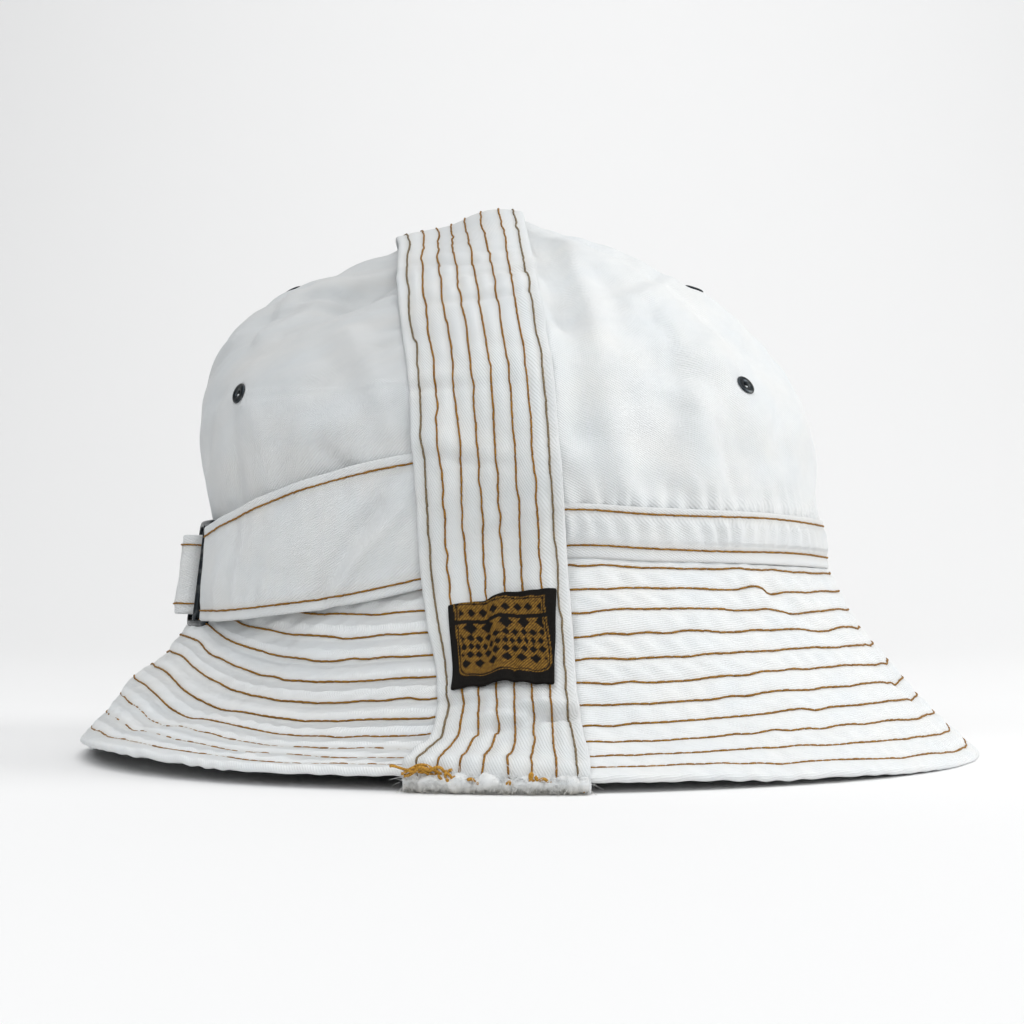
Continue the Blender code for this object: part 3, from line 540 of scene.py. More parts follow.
def waves(across, up, width, height, seed):
    """Smooth random waves from -1 to 1, of a typical width and height."""
    lattice = np.random.default_rng(seed).uniform(-1, 1, (LATTICE, LATTICE))
    x, y = across / width, up / height
    column, row = np.floor(x).astype(int), np.floor(y).astype(int)
    share_x, share_y = ease(x - column), ease(y - row)
    row, column, above, right = (value % LATTICE for value in (row, column, row + 1, column + 1))
    low = mix(lattice[row, column], lattice[row, right], share_x)
    high = mix(lattice[above, column], lattice[above, right], share_x)
    return mix(low, high, share_y)


def layered(cloth, across, up, seed):
    """The sum of a cloth's layers of random waves, in metres."""
    return sum(rise * waves(across + slant * up, up + lean * across, width, tall, seed + number)
               for rise, slant, lean, width, tall, number in CLOTH_WAVES[cloth])


_, FOOT_FRONT, FOOT_BACK, _ = rows_at(CROWN_SECTIONS, 0.0)
CENTRE_X = -(FOOT_FRONT * HALF_LENGTH + BRIM_REACH_FRONT - FOOT_BACK * HALF_LENGTH - BRIM_REACH_BACK) / 2


def joint_height(turn):
    """How high the joint between crown and brim is."""
    return rows_at(BRIM_SECTIONS, np.abs(turn))[0] * JOINT_HEIGHT


def crown_section(level):
    """Height share, middle, half length and half width of the crown's section at a level."""
    height, front, back, side = rows_at(CROWN_SECTIONS, level)
    middle = CENTRE_X + (front - back) / 2 * HALF_LENGTH
    return height, middle, (front + back) / 2 * HALF_LENGTH, side * HALF_WIDTH


def crown_base(turn, level):
    """Points of the crown's outer face before it is folded."""
    height, middle, half_length, half_width = crown_section(level)
    angle = np.radians(turn)
    foot = joint_height(turn)
    x = middle + half_length * np.cos(angle)
    y = -half_width * np.sin(angle)
    return np.stack([x, y, mix(foot, CROWN_TOP, height)], axis=-1)


def joint_frame(turn):
    """The joint's points and their level outward directions."""
    _, _, half_length, half_width = crown_section(0.0)
    angle = np.radians(turn)
    outward = np.stack([np.cos(angle) / half_length, -np.sin(angle) / half_width, 0 * angle], axis=-1)
    return crown_base(turn, np.zeros_like(angle)), unit(outward)


def brim_reach(turn):
    """How far the brim reaches out from the joint, seen from above."""
    share = rows_at(BRIM_SECTIONS, np.abs(turn))[1]
    end = np.where(np.abs(turn) <= SIDE_TURN, BRIM_REACH_FRONT, BRIM_REACH_BACK)
    return share * mix(end, BRIM_REACH_SIDE, ease(1 - np.abs(np.abs(turn) - SIDE_TURN) / SIDE_TURN))


def brim_base(turn, place):
    """Points of the brim's upper face before it is folded."""
    _, _, lift, top_slope, top_pull, hem_slope, hem_pull = rows_at(BRIM_SECTIONS, np.abs(turn))
    joint, outward = joint_frame(turn)
    top_angle, hem_angle = np.radians(top_slope), np.radians(hem_slope)
    reach = brim_reach(turn)
    drop = joint[..., 2] - lift * HEM_LIFT - BRIM_WALL * np.cos(hem_angle)
    way = np.hypot(reach, drop)
    lip = BAND_WALL * ease((SIDE_TURN + LIP_FADE / 2 - np.abs(turn)) / LIP_FADE)
    outs = (lip, lip + way * top_pull * np.cos(top_angle),
            reach - way * hem_pull * np.cos(hem_angle), reach)
    falls = (0.0, way * top_pull * np.sin(top_angle),
             drop - way * hem_pull * np.sin(hem_angle), drop)
    left = 1 - place
    weights = (left ** 3, 3 * left * left * place, 3 * left * place * place, place ** 3)
    out = sum(weight * value for weight, value in zip(weights, outs))
    fall = sum(weight * value for weight, value in zip(weights, falls))
    points = joint + outward * out[..., None]
    points[..., 2] -= fall
    return points


def outward_at(base, turn, share):
    """The directions that point out of a surface, from points close by."""
    along = base(turn + NEARBY_TURN, share) - base(turn - NEARBY_TURN, share)
    high = np.minimum(share + NEARBY_SHARE, 1.0)
    low = np.maximum(share - NEARBY_SHARE, 0.0)
    low = np.where(high == 1.0, 1.0 - 3 * NEARBY_SHARE, low)
    high = np.where(high == 1.0, 1.0 - NEARBY_SHARE, high)
    normal = np.cross(base(turn, high) - base(turn, low), along)
    if base is brim_base:
        facing = normal[..., 2]
    else:
        facing = (normal * (base(turn, share) - np.array([CENTRE_X, 0.0, JOINT_HEIGHT]))).sum(axis=-1)
    return unit(np.where(facing[..., None] < 0, -normal, normal))


def distance_to(points, line):
    """The distance from each point to a line of points."""
    best = np.full(points.shape[:-1], np.inf)
    for start, end in zip(line, line[1:]):
        way = end - start
        share = np.clip(((points - start) @ way) / (way @ way), 0.0, 1.0)
        best = np.minimum(best, np.linalg.norm(points - start - way * share[..., None], axis=-1))
    return best


def strokes_of(base, folds, steps=8):
    """Each fold's middle line, width and depth in metres."""
    shares = np.linspace(0.0, 1.0, steps + 1)
    return [(base(mix(fold[0], fold[2], shares), mix(fold[1], fold[3], shares)),
             fold[4] * FOLD_WIDTH / 2, fold[5] * FOLD_DEPTH) for fold in folds]


CROWN_STROKES = strokes_of(crown_base, CROWN_FOLDS)
BRIM_STROKES = strokes_of(brim_base, BRIM_FOLDS)


def folded(base, strokes, turn, share):
    """Points of a surface with its folds, and their outward directions."""
    points = base(turn, share)
    outward = outward_at(base, turn, share)
    depth = sum(deep * np.exp(-(distance_to(points, line) / width) ** 2) for line, width, deep in strokes)
    return points - outward * depth[..., None]


def crown_point(turn, level):
    """Points of the crown's outer face."""
    return folded(crown_base, CROWN_STROKES, turn, level)


def brim_point(turn, place):
    """Points of the brim's upper face."""
    return folded(brim_base, BRIM_STROKES, turn, place)


def crown_spot(x, lean):
    """Turn and level of the crown's face at each x, seen from the middle of its foot at an angle.

    The angle lean runs from 0 on the right side, over the top, to 180 on the left side."""
    goal = np.radians(np.minimum(lean, 180 - lean))
    low, high = np.zeros_like(x), np.ones_like(x)
    turn = np.full_like(x, SIDE_TURN)
    for _ in range(HALVINGS):
        level = (low + high) / 2
        height, middle, half_length, half_width = crown_section(level)
        share = (x - middle) / half_length
        inside = np.abs(share) < 1
        turn = np.where(inside, np.degrees(np.arccos(np.clip(share, -1, 1))), turn)
        side = half_width * np.sin(np.radians(turn))
        rise = height * (CROWN_TOP - joint_height(turn))
        below = inside & (np.arctan2(rise, side) < goal)
        low, high = np.where(below, level, low), np.where(below, high, level)
    return np.where(lean <= 90, turn, -turn), (low + high) / 2


def brim_spot(x, place, side):
    """The turn at which the brim's upper face is met at each x, on the right side (1) or the left (-1)."""
    low, high = np.zeros_like(x), np.full_like(x, 180.0)
    for _ in range(HALVINGS):
        turn = (low + high) / 2
        ahead = brim_base(turn, place)[..., 0] > x
        low, high = np.where(ahead, turn, low), np.where(ahead, high, turn)
    return side * (low + high) / 2


def share_at(base, turn, height):
    """The share of a surface's way at which it is at a height: up the crown, or down the brim."""
    low, high = np.zeros_like(height), np.ones_like(height)
    for _ in range(HALVINGS):
        share = (low + high) / 2
        reached = base(turn, share)[..., 2]
        further = (reached < height) if base is crown_base else (reached >= height)
        low, high = np.where(further, share, low), np.where(further, high, share)
    return low


def hat_stand(turn, height):
    """How far out of the joint's outline the hat's face is at a height."""
    joint, outward = joint_frame(turn)
    up = crown_base(turn, share_at(crown_base, turn, height)) - joint
    down = brim_base(turn, share_at(brim_base, turn, height)) - joint
    return np.where(height > joint[..., 2], (up * outward).sum(axis=-1), (down * outward).sum(axis=-1))


def turn_along(turn, distance, steps=4):
    """The turn reached by following the joint's outline for a distance."""
    for _ in range(steps):
        way = joint_frame(np.array(turn + 0.5))[0] - joint_frame(np.array(turn - 0.5))[0]
        turn += distance / steps / np.linalg.norm(way)
    return float(turn)


def wrapped(turn):
    """Turns between -180 and 180."""
    return np.where(turn > 180, turn - 360, turn)


def belt_point(turn, height, low, top, stand):
    """Points a stand outside the straight lines between a belt's edges, which lie on the hat."""
    joint, outward = joint_frame(turn)
    base = mix(hat_stand(turn, low), hat_stand(turn, top), (height - low) / (top - low))
    points = joint + outward * (base + stand)[..., None]
    points[..., 2] = height
    return points


def smooth_between(grid, places):
    """A grid read smoothly at places between its rows."""
    last = len(grid) - 1
    index = np.clip(np.floor(places).astype(int), 0, last - 1)
    share = (places - index).reshape((-1,) + (1,) * (grid.ndim - 1))
    before, low = grid[np.maximum(index - 1, 0)], grid[index]
    high, after = grid[index + 1], grid[np.minimum(index + 2, last)]
    return curved(low, high, (high - before) / 2, (after - low) / 2, share)


def ways_up(grid):
    """The length from a grid's first row to each row, on the whole."""
    steps = np.linalg.norm(np.diff(grid, axis=0), axis=-1).mean(axis=-1)
    return np.concatenate([[0.0], np.cumsum(steps)])


def refined(grid, step):
    """A grid with more rows, a step apart, on smooth curves through its rows."""
    ways = ways_up(grid)
    count = max(2, round(ways[-1] / step))
    places = np.interp(np.linspace(0.0, ways[-1], count + 1), ways, np.arange(len(ways)))
    return smooth_between(grid, places)


def smoothed(grid, passes):
    """A grid with its small bumps evened out."""
    grid = grid.copy()
    for _ in range(passes):
        grid[1:-1, 1:-1] += (grid[2:, 1:-1] + grid[:-2, 1:-1] + grid[1:-1, 2:] + grid[1:-1, :-2]
                             - 4 * grid[1:-1, 1:-1]) * 0.2
        for side in (0, -1):
            grid[side, 1:-1] += (grid[side, 2:] + grid[side, :-2] - 2 * grid[side, 1:-1]) * 0.2
            grid[1:-1, side] += (grid[2:, side] + grid[:-2, side] - 2 * grid[1:-1, side]) * 0.2
    return grid


def creased(points, creases):
    """How much a list of creases raises a cloth. Each is a line of spots, a width and a rise in metres."""
    height = np.zeros(points.shape[:2])
    for line, width, rise in creases:
        height += rise * np.exp(-(distance_to(points, line) / width) ** 2)
    return height


def outward_of(points):
    """The outward directions of a cloth."""
    return unit(np.cross(np.gradient(points, axis=1), np.gradient(points, axis=0)))


def way_along(line):
    """The length of a line of points, up to each of them."""
    return np.concatenate([[0.0], np.cumsum(np.linalg.norm(np.diff(line, axis=0), axis=-1))])


def points_along(line, ways, stops):
    """The points of a line at stops, where ways says how far along it each of its points is."""
    return np.stack([np.interp(stops, ways, line[:, axis]) for axis in range(3)], axis=-1)


def lengths_of(points):
    """How far each point is across its cloth along its row, and up it along its column, in metres."""
    across = np.linalg.norm(np.diff(points, axis=1), axis=-1)
    up = np.linalg.norm(np.diff(points, axis=0), axis=-1)
    across = np.concatenate([np.zeros((len(points), 1)), np.cumsum(across, axis=1)], axis=1)
    up = np.concatenate([np.zeros((1, points.shape[1])), np.cumsum(up, axis=0)], axis=0)
    return across, up


def raised(points, height):
    """A cloth whose points are moved outwards by a height each, and never into the floor."""
    moved = points + outward_of(points) * height[..., None]
    moved[..., 2] = np.maximum(moved[..., 2], FLOOR_GAP)
    return moved


def material_of(name):
    """The material of that name, or a new empty one."""
    return bpy.data.materials.get(name) or bpy.data.materials.new(name)


def new_piece(name, corners, faces, facts, material, nodes=()):
    """A mesh object that rides on the hat and stands for the given CAD nodes."""
    mesh = bpy.data.meshes.new(name)
    mesh.from_pydata(corners, [], faces)
    mesh.update()
    for key, values in facts.items():
        kind = "FLOAT_VECTOR" if values.ndim == 2 else "FLOAT"
        layer = mesh.attributes.new(key, kind, "POINT")
        layer.data.foreach_set("vector" if values.ndim == 2 else "value", values.astype(np.float32).ravel())
    mesh.shade_smooth()
    mesh.materials.append(material_of(material))
    piece = bpy.data.objects.new(name, mesh)
    bpy.context.scene.collection.objects.link(piece)
    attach(piece, "root")
    if nodes:
        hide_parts(*nodes)
    return piece


def border_of(rows, columns):
    """The grid's border, once round: rows and columns."""
    bottom = [(0, column) for column in range(columns)]
    right = [(row, columns - 1) for row in range(1, rows)]
    top = [(rows - 1, column) for column in range(columns - 2, -1, -1)]
    left = [(row, 0) for row in range(rows - 2, 0, -1)]
    return np.array(bottom + right + top + left)


def slab(points, wall, facts, holes=(), rings=3):
    """A closed wall with round edges behind a cloth: corners, faces and facts for each corner.

    The holes are squares of the grid, each given by its lower left corner, that are left open."""
    rows, columns = points.shape[:2]
    outward = outward_of(smoothed(points, 4))
    inner = points - outward * np.broadcast_to(wall, points.shape[:2])[..., None]
    inner[..., 2] = np.maximum(inner[..., 2], FLOOR_GAP)
    border = border_of(rows, columns)
    edge = points[border[:, 0], border[:, 1]]
    edge_inner = inner[border[:, 0], border[:, 1]]
    inside = points[np.clip(border[:, 0], 1, rows - 2), np.clip(border[:, 1], 1, columns - 2)]
    across = unit(edge_inner - edge)
    beyond = edge - inside
    beyond = unit(beyond - across * (beyond * across).sum(axis=-1, keepdims=True))
    half = np.linalg.norm(edge_inner - edge, axis=-1, keepdims=True) / 2
    corners = [points.reshape(-1, 3), inner.reshape(-1, 3)]
    for ring in range(1, rings + 1):
        angle = math.pi * ring / (rings + 1)
        turned = (edge + edge_inner) / 2 - across * half * math.cos(angle) + beyond * half * math.sin(angle)
        turned[:, 2] = np.maximum(turned[:, 2], FLOOR_GAP)
        corners.append(turned)
    number = np.arange(rows * columns).reshape(rows, columns)
    open_squares = {tuple(hole) for hole in holes}
    keep = np.ones((rows - 1, columns - 1), dtype=bool)
    for row, column in open_squares:
        keep[row, column] = False
    squares = np.stack([number[:-1, :-1], number[:-1, 1:], number[1:, 1:], number[1:, :-1]], axis=-1)
    outer_faces = squares[keep]
    inner_faces = outer_faces[:, ::-1] + rows * columns
    around = number[border[:, 0], border[:, 1]]
    count = len(around)
    levels = [around]
    for ring in range(rings):
        levels.append(2 * rows * columns + ring * count + np.arange(count))
    levels.append(around + rows * columns)
    rim_faces = []
    for upper, lower in zip(levels, levels[1:]):
        rim_faces.append(np.stack([upper, lower, np.roll(lower, -1), np.roll(upper, -1)], axis=-1))
    hole_faces = []
    for row, column in open_squares:
        ring = squares[row, column]
        below = ring + rows * columns
        hole_faces.append(np.stack([ring, np.roll(ring, -1), np.roll(below, -1), below], axis=-1))
    faces = np.concatenate([outer_faces, inner_faces] + rim_faces + hole_faces).tolist()
    spread = {}
    for key, values in facts.items():
        flat = values.reshape((rows * columns,) + values.shape[2:])
        rims = [flat[around].copy() for _ in range(rings)]
        if key == "weave":
            for ring, rim in enumerate(rims):
                rim[:, :2] -= half * (ring + 1) / (rings + 1) * math.pi
        spread[key] = np.concatenate([flat, flat] + rims)
    return np.concatenate(corners), faces, spread


def cloth_facts(points, seam):
    """What the cloth's material needs: where each point is in the weave, and how close it is to a seam."""
    across, up = lengths_of(points)
    return {"weave": np.stack([across, up, 0 * up], axis=-1), "seam": np.broadcast_to(seam, up.shape) * 1.0}


def make_cloth(node, points, wall, seam, material, slot, holes=(), rings=3, **more):
    """A cloth that stands for a node of the hat, as a closed wall behind its points."""
    corners, faces, facts = slab(points, wall, {**cloth_facts(points, seam), **more}, holes, rings)
    return new_piece(node + "_cloth", corners, faces, facts, material, [node])


def rods(lines, radii, outward, sides):
    """Closed rods along lines of points, all with as many stations: corners, faces and weave places."""
    count, stations = lines.shape[:2]
    along = unit(np.gradient(lines, axis=1))
    side = unit(np.cross(along, outward))
    up = np.cross(side, along)
    angles = np.arange(sides) * 2 * math.pi / sides
    ring = side[:, :, None] * np.cos(angles)[:, None] + up[:, :, None] * np.sin(angles)[:, None]
    corners = lines[:, :, None] + ring * radii[:, :, None, None]
    number = np.arange(count * stations * sides).reshape(count, stations, sides)
    ahead = np.roll(number, -1, axis=2)
    walls = np.stack([number[:, :-1], ahead[:, :-1], ahead[:, 1:], number[:, 1:]], axis=-1).reshape(-1, 4)
    faces = walls.tolist() + number[:, 0, ::-1].tolist() + number[:, -1].tolist()
    steps = np.linalg.norm(np.diff(lines, axis=1), axis=-1)
    ways = np.concatenate([np.zeros((count, 1)), np.cumsum(steps, axis=1)], axis=1)
    weave = np.zeros(corners.shape)
    weave[..., 0] = ways[:, :, None]
    weave[..., 1] = angles / (2 * math.pi)
    return corners.reshape(-1, 3), faces, weave.reshape(-1, 3)


def stitch_row(line, outward, seed, sink):
    """The lines, radii and outward directions of one row's stitches, along a line of points on the cloth."""
    rng = np.random.default_rng(seed)
    ways = way_along(line)
    count = max(1, int((ways[-1] - STITCH_LENGTH) / STITCH_PITCH))
    starts = np.arange(count) * STITCH_PITCH
    starts = starts + rng.uniform(-STITCH_JITTER, STITCH_JITTER, count) * STITCH_PITCH
    shares, heights, widths, _ = np.array(STITCH_STATIONS).T
    heights = heights - sink * rng.uniform(*STITCH_SINKS, (count, 1))
    stops = starts[:, None] + shares * STITCH_LENGTH * rng.uniform(*STITCH_LENGTHS, (count, 1))
    spots = points_along(line, ways, stops)
    normals = unit(points_along(outward, ways, stops))
    radii = STITCH_RADIUS * widths * rng.uniform(*STITCH_WIDTHS, (count, 1))
    side = unit(np.cross(np.gradient(spots, axis=1), normals))
    drift = rng.uniform(-1, 1, (count, 1, 1)) * np.linspace(-1, 1, len(shares))[None, :, None]
    aside = side * drift * STITCH_RADIUS * STITCH_DRIFT
    spots = spots + normals * (STITCH_RADIUS * heights)[..., None] + aside
    return spots, radii, normals


def read_grid(grid, rows, columns):
    """A grid read between its points at fractional rows and columns."""
    rows, columns = (np.clip(places, 0, count - 1.0001) for places, count in zip((rows, columns), grid.shape))
    row, column = rows.astype(int), columns.astype(int)
    share_row, share_column = (rows - row)[..., None], (columns - column)[..., None]
    low = mix(grid[row, column], grid[row, column + 1], share_column)
    high = mix(grid[row + 1, column], grid[row + 1, column + 1], share_column)
    return mix(low, high, share_row)


class Seams:
    """Rows of stitches on one piece of cloth, gathered into one mesh."""

    def __init__(self, name, slot, material, sides=5):
        self.name, self.slot, self.material, self.sides = name, slot, material, sides
        self.parts = []

    def add(self, points, outward, rows, columns, seed, sink=0.0):
        """A row of stitches on a cloth, at fractional rows and columns, sunk by a share of their radius."""
        line = read_grid(points, rows, columns)
        self.parts.append(stitch_row(line, read_grid(outward, rows, columns), seed, sink))

    def finish(self):
        """Make the mesh."""
        lines, radii, outward = (np.concatenate([part[index] for part in self.parts]) for index in range(3))
        lines[..., 2] = np.maximum(lines[..., 2], FLOOR_GAP + radii)
        corners, faces, weave = rods(lines, radii, outward, self.sides)
        tint = np.repeat(np.random.default_rng(len(lines)).uniform(0, 1, len(lines)),
                         lines.shape[1] * self.sides)
        # The end value is painted shade where each stitch dives into the cloth.
        end = np.tile(np.repeat(np.array(STITCH_STATIONS)[:, 3], self.sides), len(lines))
        return new_piece(self.name, corners, faces, {"weave": weave, "tint": tint, "end": end},
                         self.material)


def groove(distance, width):
    """How deep a seam presses the cloth, from 1 on the seam to 0 away from it."""
    return np.exp(-(distance / width) ** 2)


def under_strap(points, margin=0.002):
    """1 where a point is under the strap and 0 away from it, seen from above."""
    rise = np.clip(points[..., 2] / JOINT_HEIGHT, 0, 1)
    over = np.clip((points[..., 2] - JOINT_HEIGHT) / (CROWN_TOP - JOINT_HEIGHT), 0, 1)
    lean = np.degrees(np.arctan2(points[..., 2] - JOINT_HEIGHT, np.abs(points[..., 1]) + 1e-9))
    place = np.where(over > 0, 1 + np.clip(lean, 0, 90) / 90, rise)
    shift, width = rows_at(STRAP_SECTIONS, place)
    beside = np.abs(points[..., 0] - CENTRE_X + shift * STRAP_SHIFT) - width * STRAP_WIDTH / 2
    return ease(0.5 - (beside + margin / 2) / margin)


def crown_relief(points, front):
    """How much the wrinkles raise the crown."""
    across, up = lengths_of(points)
    seed = 10 if front else 20
    height = layered("crown", across, up, seed)
    lines = [(crown_base(np.array(turns), np.array(levels)), width, rise)
             for turns, levels, width, rise in CROWN_CREASES if (abs(turns[0]) < SIDE_TURN) == front]
    height += creased(points, lines)
    foot = BAND_HEIGHT if front else 0.0
    rise = up - foot
    height *= ease(rise / 0.009) if front else mix(0.3, 1.0, ease(up / 0.03))
    reach = PUCKER_REACH + PUCKER_UNEVEN * waves(across, 0 * up, 0.011, 1.0, seed + 3)
    fade = ease(1 - rise / reach) * ease(1 + rise / 0.004)
    phase = across / PUCKER_PITCH + 0.55 * waves(across, up, 0.012, 0.020, seed + 4) + rise / 0.03
    height += PUCKER_RISE * fade * np.cos(2 * math.pi * phase)
    height *= mix(1.0, 0.15, under_strap(points))
    return height * ease(up / 0.004 + (0.0 if front else 1.0))


def opened(points, centre, clear, reach):
    """A cloth opened round a spot: its points are pushed away, and the square over the spot is named."""
    away = points - centre
    distance = np.linalg.norm(away, axis=-1)
    squares = distance[:-1, :-1] + distance[1:, :-1] + distance[:-1, 1:] + distance[1:, 1:]
    hole = np.unravel_index(np.argmin(squares), squares.shape)
    pushed = clear + distance * (reach - clear) / reach
    scale = np.where(distance < reach, pushed / np.maximum(distance, 1e-9), 1.0)
    return centre + away * scale[..., None], (int(hole[0]), int(hole[1]))


def make_crown_half(name, middle_turn):
    """One half of the crown, with its wrinkles, puckers and eyelet holes."""
    front = middle_turn == 0
    columns = round(math.pi * (HALF_LENGTH + HALF_WIDTH) / 2 / CLOTH_STEP)
    rows = round(CROWN_RISE / CLOTH_STEP)
    turn = middle_turn + SIDE_TURN - np.arange(columns + 1) * 2 * SIDE_TURN / columns
    level = np.arange(rows + 1) / rows * TOP_LEVEL
    turns, levels = np.meshgrid(wrapped(turn), level)
    points = crown_point(turns, levels)
    points = raised(points, crown_relief(points, front))
    holes = []
    for eyelet, eyelet_turn, eyelet_level in EYELETS:
        if (abs(eyelet_turn) < SIDE_TURN) == front:
            column = (middle_turn + SIDE_TURN - eyelet_turn) % 360 / (2 * SIDE_TURN) * columns
            row = eyelet_level / TOP_LEVEL * rows
            centre = read_grid(points, np.array(row), np.array(column))
            outward = read_grid(outward_of(points), np.array(row), np.array(column))
            points, hole = opened(points, centre, EYELET_BORE * 2.0, EYELET_RADIUS * 1.3)
            holes.append(hole)
            make_eyelet(eyelet, centre, outward)
    make_cloth(name, points, CROWN_WALL, 0.0, name + "_twill", "crown_twill", holes)


def make_eyelet(name, centre, outward):
    """A rolled metal ring in the crown, with a flange inside and outside."""
    steps, bends = 28, 10
    rim = EYELET_FLANGE / 2
    middle = (EYELET_RADIUS + EYELET_BORE) / 2
    half = (EYELET_RADIUS - EYELET_BORE) / 2
    angles = np.linspace(0, math.pi, bends)
    outer = [(middle + half * math.cos(angle), EYELET_GAP * 0.4 + rim * 1.3 * math.sin(angle))
             for angle in angles]
    low = -CROWN_WALL - EYELET_GAP
    inner = [(middle - half * math.cos(angle), low - rim * math.sin(angle)) for angle in angles]
    barrel = EYELET_BORE + 0.0005
    section = np.array(outer + inner + [(barrel, low), (barrel, EYELET_GAP * 0.4)])
    side = unit(np.cross(outward, np.array([0.3, 0.2, 1.0])))
    up = np.cross(outward, side)
    turns = np.arange(steps) * 2 * math.pi / steps
    spoke = side * np.cos(turns)[:, None] + up * np.sin(turns)[:, None]
    corners = centre + spoke[:, None] * section[None, :, :1] + outward * section[None, :, 1:]
    number = np.arange(steps * len(section)).reshape(steps, len(section))
    after = np.roll(number, -1, axis=0)
    faces = np.stack([number, after, np.roll(after, -1, axis=1), np.roll(number, -1, axis=1)], axis=-1)
    facts = {"weave": corners.reshape(-1, 3)}
    return new_piece(name + "_ring", corners.reshape(-1, 3), faces.reshape(-1, 4).tolist(), facts,
                     "gunmetal", [name])


def brim_grid(middle_turn):
    """Half the brim before its relief, and how far each point is from the hem.

    The rows are evenly spaced at first, and then share out what is left: the last two values say how."""
    columns = round(math.pi * (HALF_LENGTH + HALF_WIDTH + 2 * BRIM_REACH_SIDE) / 2 / CLOTH_STEP / BRIM_COARSE)
    turn = wrapped(middle_turn + SIDE_TURN - np.arange(columns + 1) * 2 * SIDE_TURN / columns)
    turns, places = np.meshgrid(turn, 1 - np.arange(BRIM_PROFILE + 1) / BRIM_PROFILE)
    fine = brim_point(turns, places)
    ways = lengths_of(fine)[1]
    even = np.linspace(0, EVEN_BRIM, round(EVEN_BRIM / BRIM_STEP) + 1)
    shares = np.linspace(0, 1, round((ways[-1].mean() - EVEN_BRIM) / BRIM_STEP) + 1)[1:]
    wanted = np.concatenate([np.broadcast_to(even[:, None], (len(even), columns + 1)),
                             mix(EVEN_BRIM, ways[-1], shares[:, None])])
    points = np.stack([points_along(fine[:, column], ways[:, column], wanted[:, column])
                       for column in range(columns + 1)], axis=1)
    points[..., 2] -= GAP
    return points, wanted, even, shares


def make_brim_half(name, middle_turn):
    """One half of the brim, quilted by its stitch rows, with a thick rolled hem."""
    seed, first, pitch, slant, dent, puff, sinks = BRIM_HALVES[0 if middle_turn == 0 else 1]
    points, wanted, even, shares = brim_grid(middle_turn)
    across = lengths_of(points)[0]
    rest = mix(EVEN_BRIM, first + (BRIM_ROWS - 1) * pitch + TOP_ROW_MARGIN, shares)
    nominal = np.concatenate([even, rest])[:, None] + layered("brim_rows", across, wanted, seed)
    phase = (nominal - first) / pitch
    near = np.abs(phase - np.round(np.clip(phase, 0, BRIM_ROWS - 1))) * pitch
    pressed = groove(near, BRIM_GROOVE)
    between = 1 - groove(near, BRIM_SHOULDER)
    gather = (across + slant * wanted) / BRIM_GATHER_PITCH
    gather = gather + 0.6 * waves(across, wanted, 0.02, 0.008, seed + 1)
    lane = np.floor(phase)
    strength = 0.55 + 0.45 * waves(across, lane * 0.05 + 0.01, 0.03, 0.05, seed + 2)
    height = dent * pressed + 0.00012 * between
    height += puff * strength * between * np.cos(2 * math.pi * (gather + 0.37 * lane))
    height += layered("brim", across, wanted, seed)
    height *= mix(0.5, 1.0, ease(wanted / 0.004)) * mix(1.0, 0.2, under_strap(points))
    points = raised(points, height)
    wall = BRIM_WALL * (1 - 0.12 * pressed)
    # The seam value greys the brim along its stitch rows: partly painted shade, partly a stain.
    make_cloth(name, points, wall, groove(near, SEAM_SHADE_AND_STAIN_REACH), name + "_twill", "brim_twill", rings=5)
    outward = outward_of(points)
    seams = Seams(name + "_stitches", "brim_twill", "thread")
    whole = np.arange(points.shape[1])
    for row in range(BRIM_ROWS):
        goal = first + row * pitch
        rows = np.array([np.interp(goal, nominal[:, column], np.arange(len(nominal))) for column in whole])
        sink = sinks[row] if row < len(sinks) else 0.0
        seams.add(points, outward, rows, whole.astype(float), seed * 100 + row, sink)
    seams.finish()


def make_band():
    """The gathered strip round the front of the crown's foot, with two rows of stitches."""
    shift, width = rows_at(STRAP_SECTIONS, 1.0)
    edge = CENTRE_X - shift * STRAP_SHIFT + width * STRAP_WIDTH / 2 - TUCK
    _, centre, half_length, _ = crown_section(0.0)
    end_turn = math.degrees(math.acos((edge - centre) / half_length))
    columns = round(BAND_LENGTH / CLOTH_STEP * 1.15)
    turn = mix(end_turn, -end_turn, np.arange(columns + 1) / columns)
    turns, up = np.meshgrid(turn, np.arange(BAND_ROWS + 1) / BAND_ROWS * BAND_HEIGHT)
    levels = share_at(crown_base, turns, joint_height(turns) + GAP + up)
    points = crown_point(turns, levels) + outward_at(crown_base, turns, levels) * (GAP + BAND_WALL)
    across = lengths_of(points)[0]
    low_row, top_row = BAND_LOW_ROW, BAND_HEIGHT - BAND_ROW_MARGIN
    pressed = groove(up - low_row, BAND_GROOVE) + groove(up - top_row, BAND_GROOVE)
    bow = ((up - low_row) / (top_row - low_row) - 0.5) ** 2
    gather = across / BAND_GATHER_PITCH + 1.3 * bow + 0.6 * waves(across, up, 0.016, 0.02, 52)
    middle = ease((up - low_row) / 0.003) * ease((top_row - up) / 0.003)
    strength = middle * (0.7 + 0.5 * waves(across, 0 * up, 0.014, 1, 51))
    height = -0.0003 * pressed + BAND_GATHER_RISE * strength * np.cos(2 * math.pi * gather)
    points = raised(points, height + layered("band", across, up, 50))
    # The pressed rows grey the band: partly painted shade, partly a stain.
    make_cloth("front_band", points, BAND_WALL, np.clip(pressed, 0, 1), "front_band_twill", "crown_twill")
    outward = outward_of(points)
    seams = Seams("front_band_stitches", "crown_twill", "thread")
    along = np.linspace(0, columns, 600)
    for index, goal in enumerate((low_row, top_row)):
        wander = 0.0002 * np.sin(along / 9.0 + index)
        seams.add(points, outward, (goal + wander) / BAND_HEIGHT * BAND_ROWS, along, 500 + index)
    seams.finish()


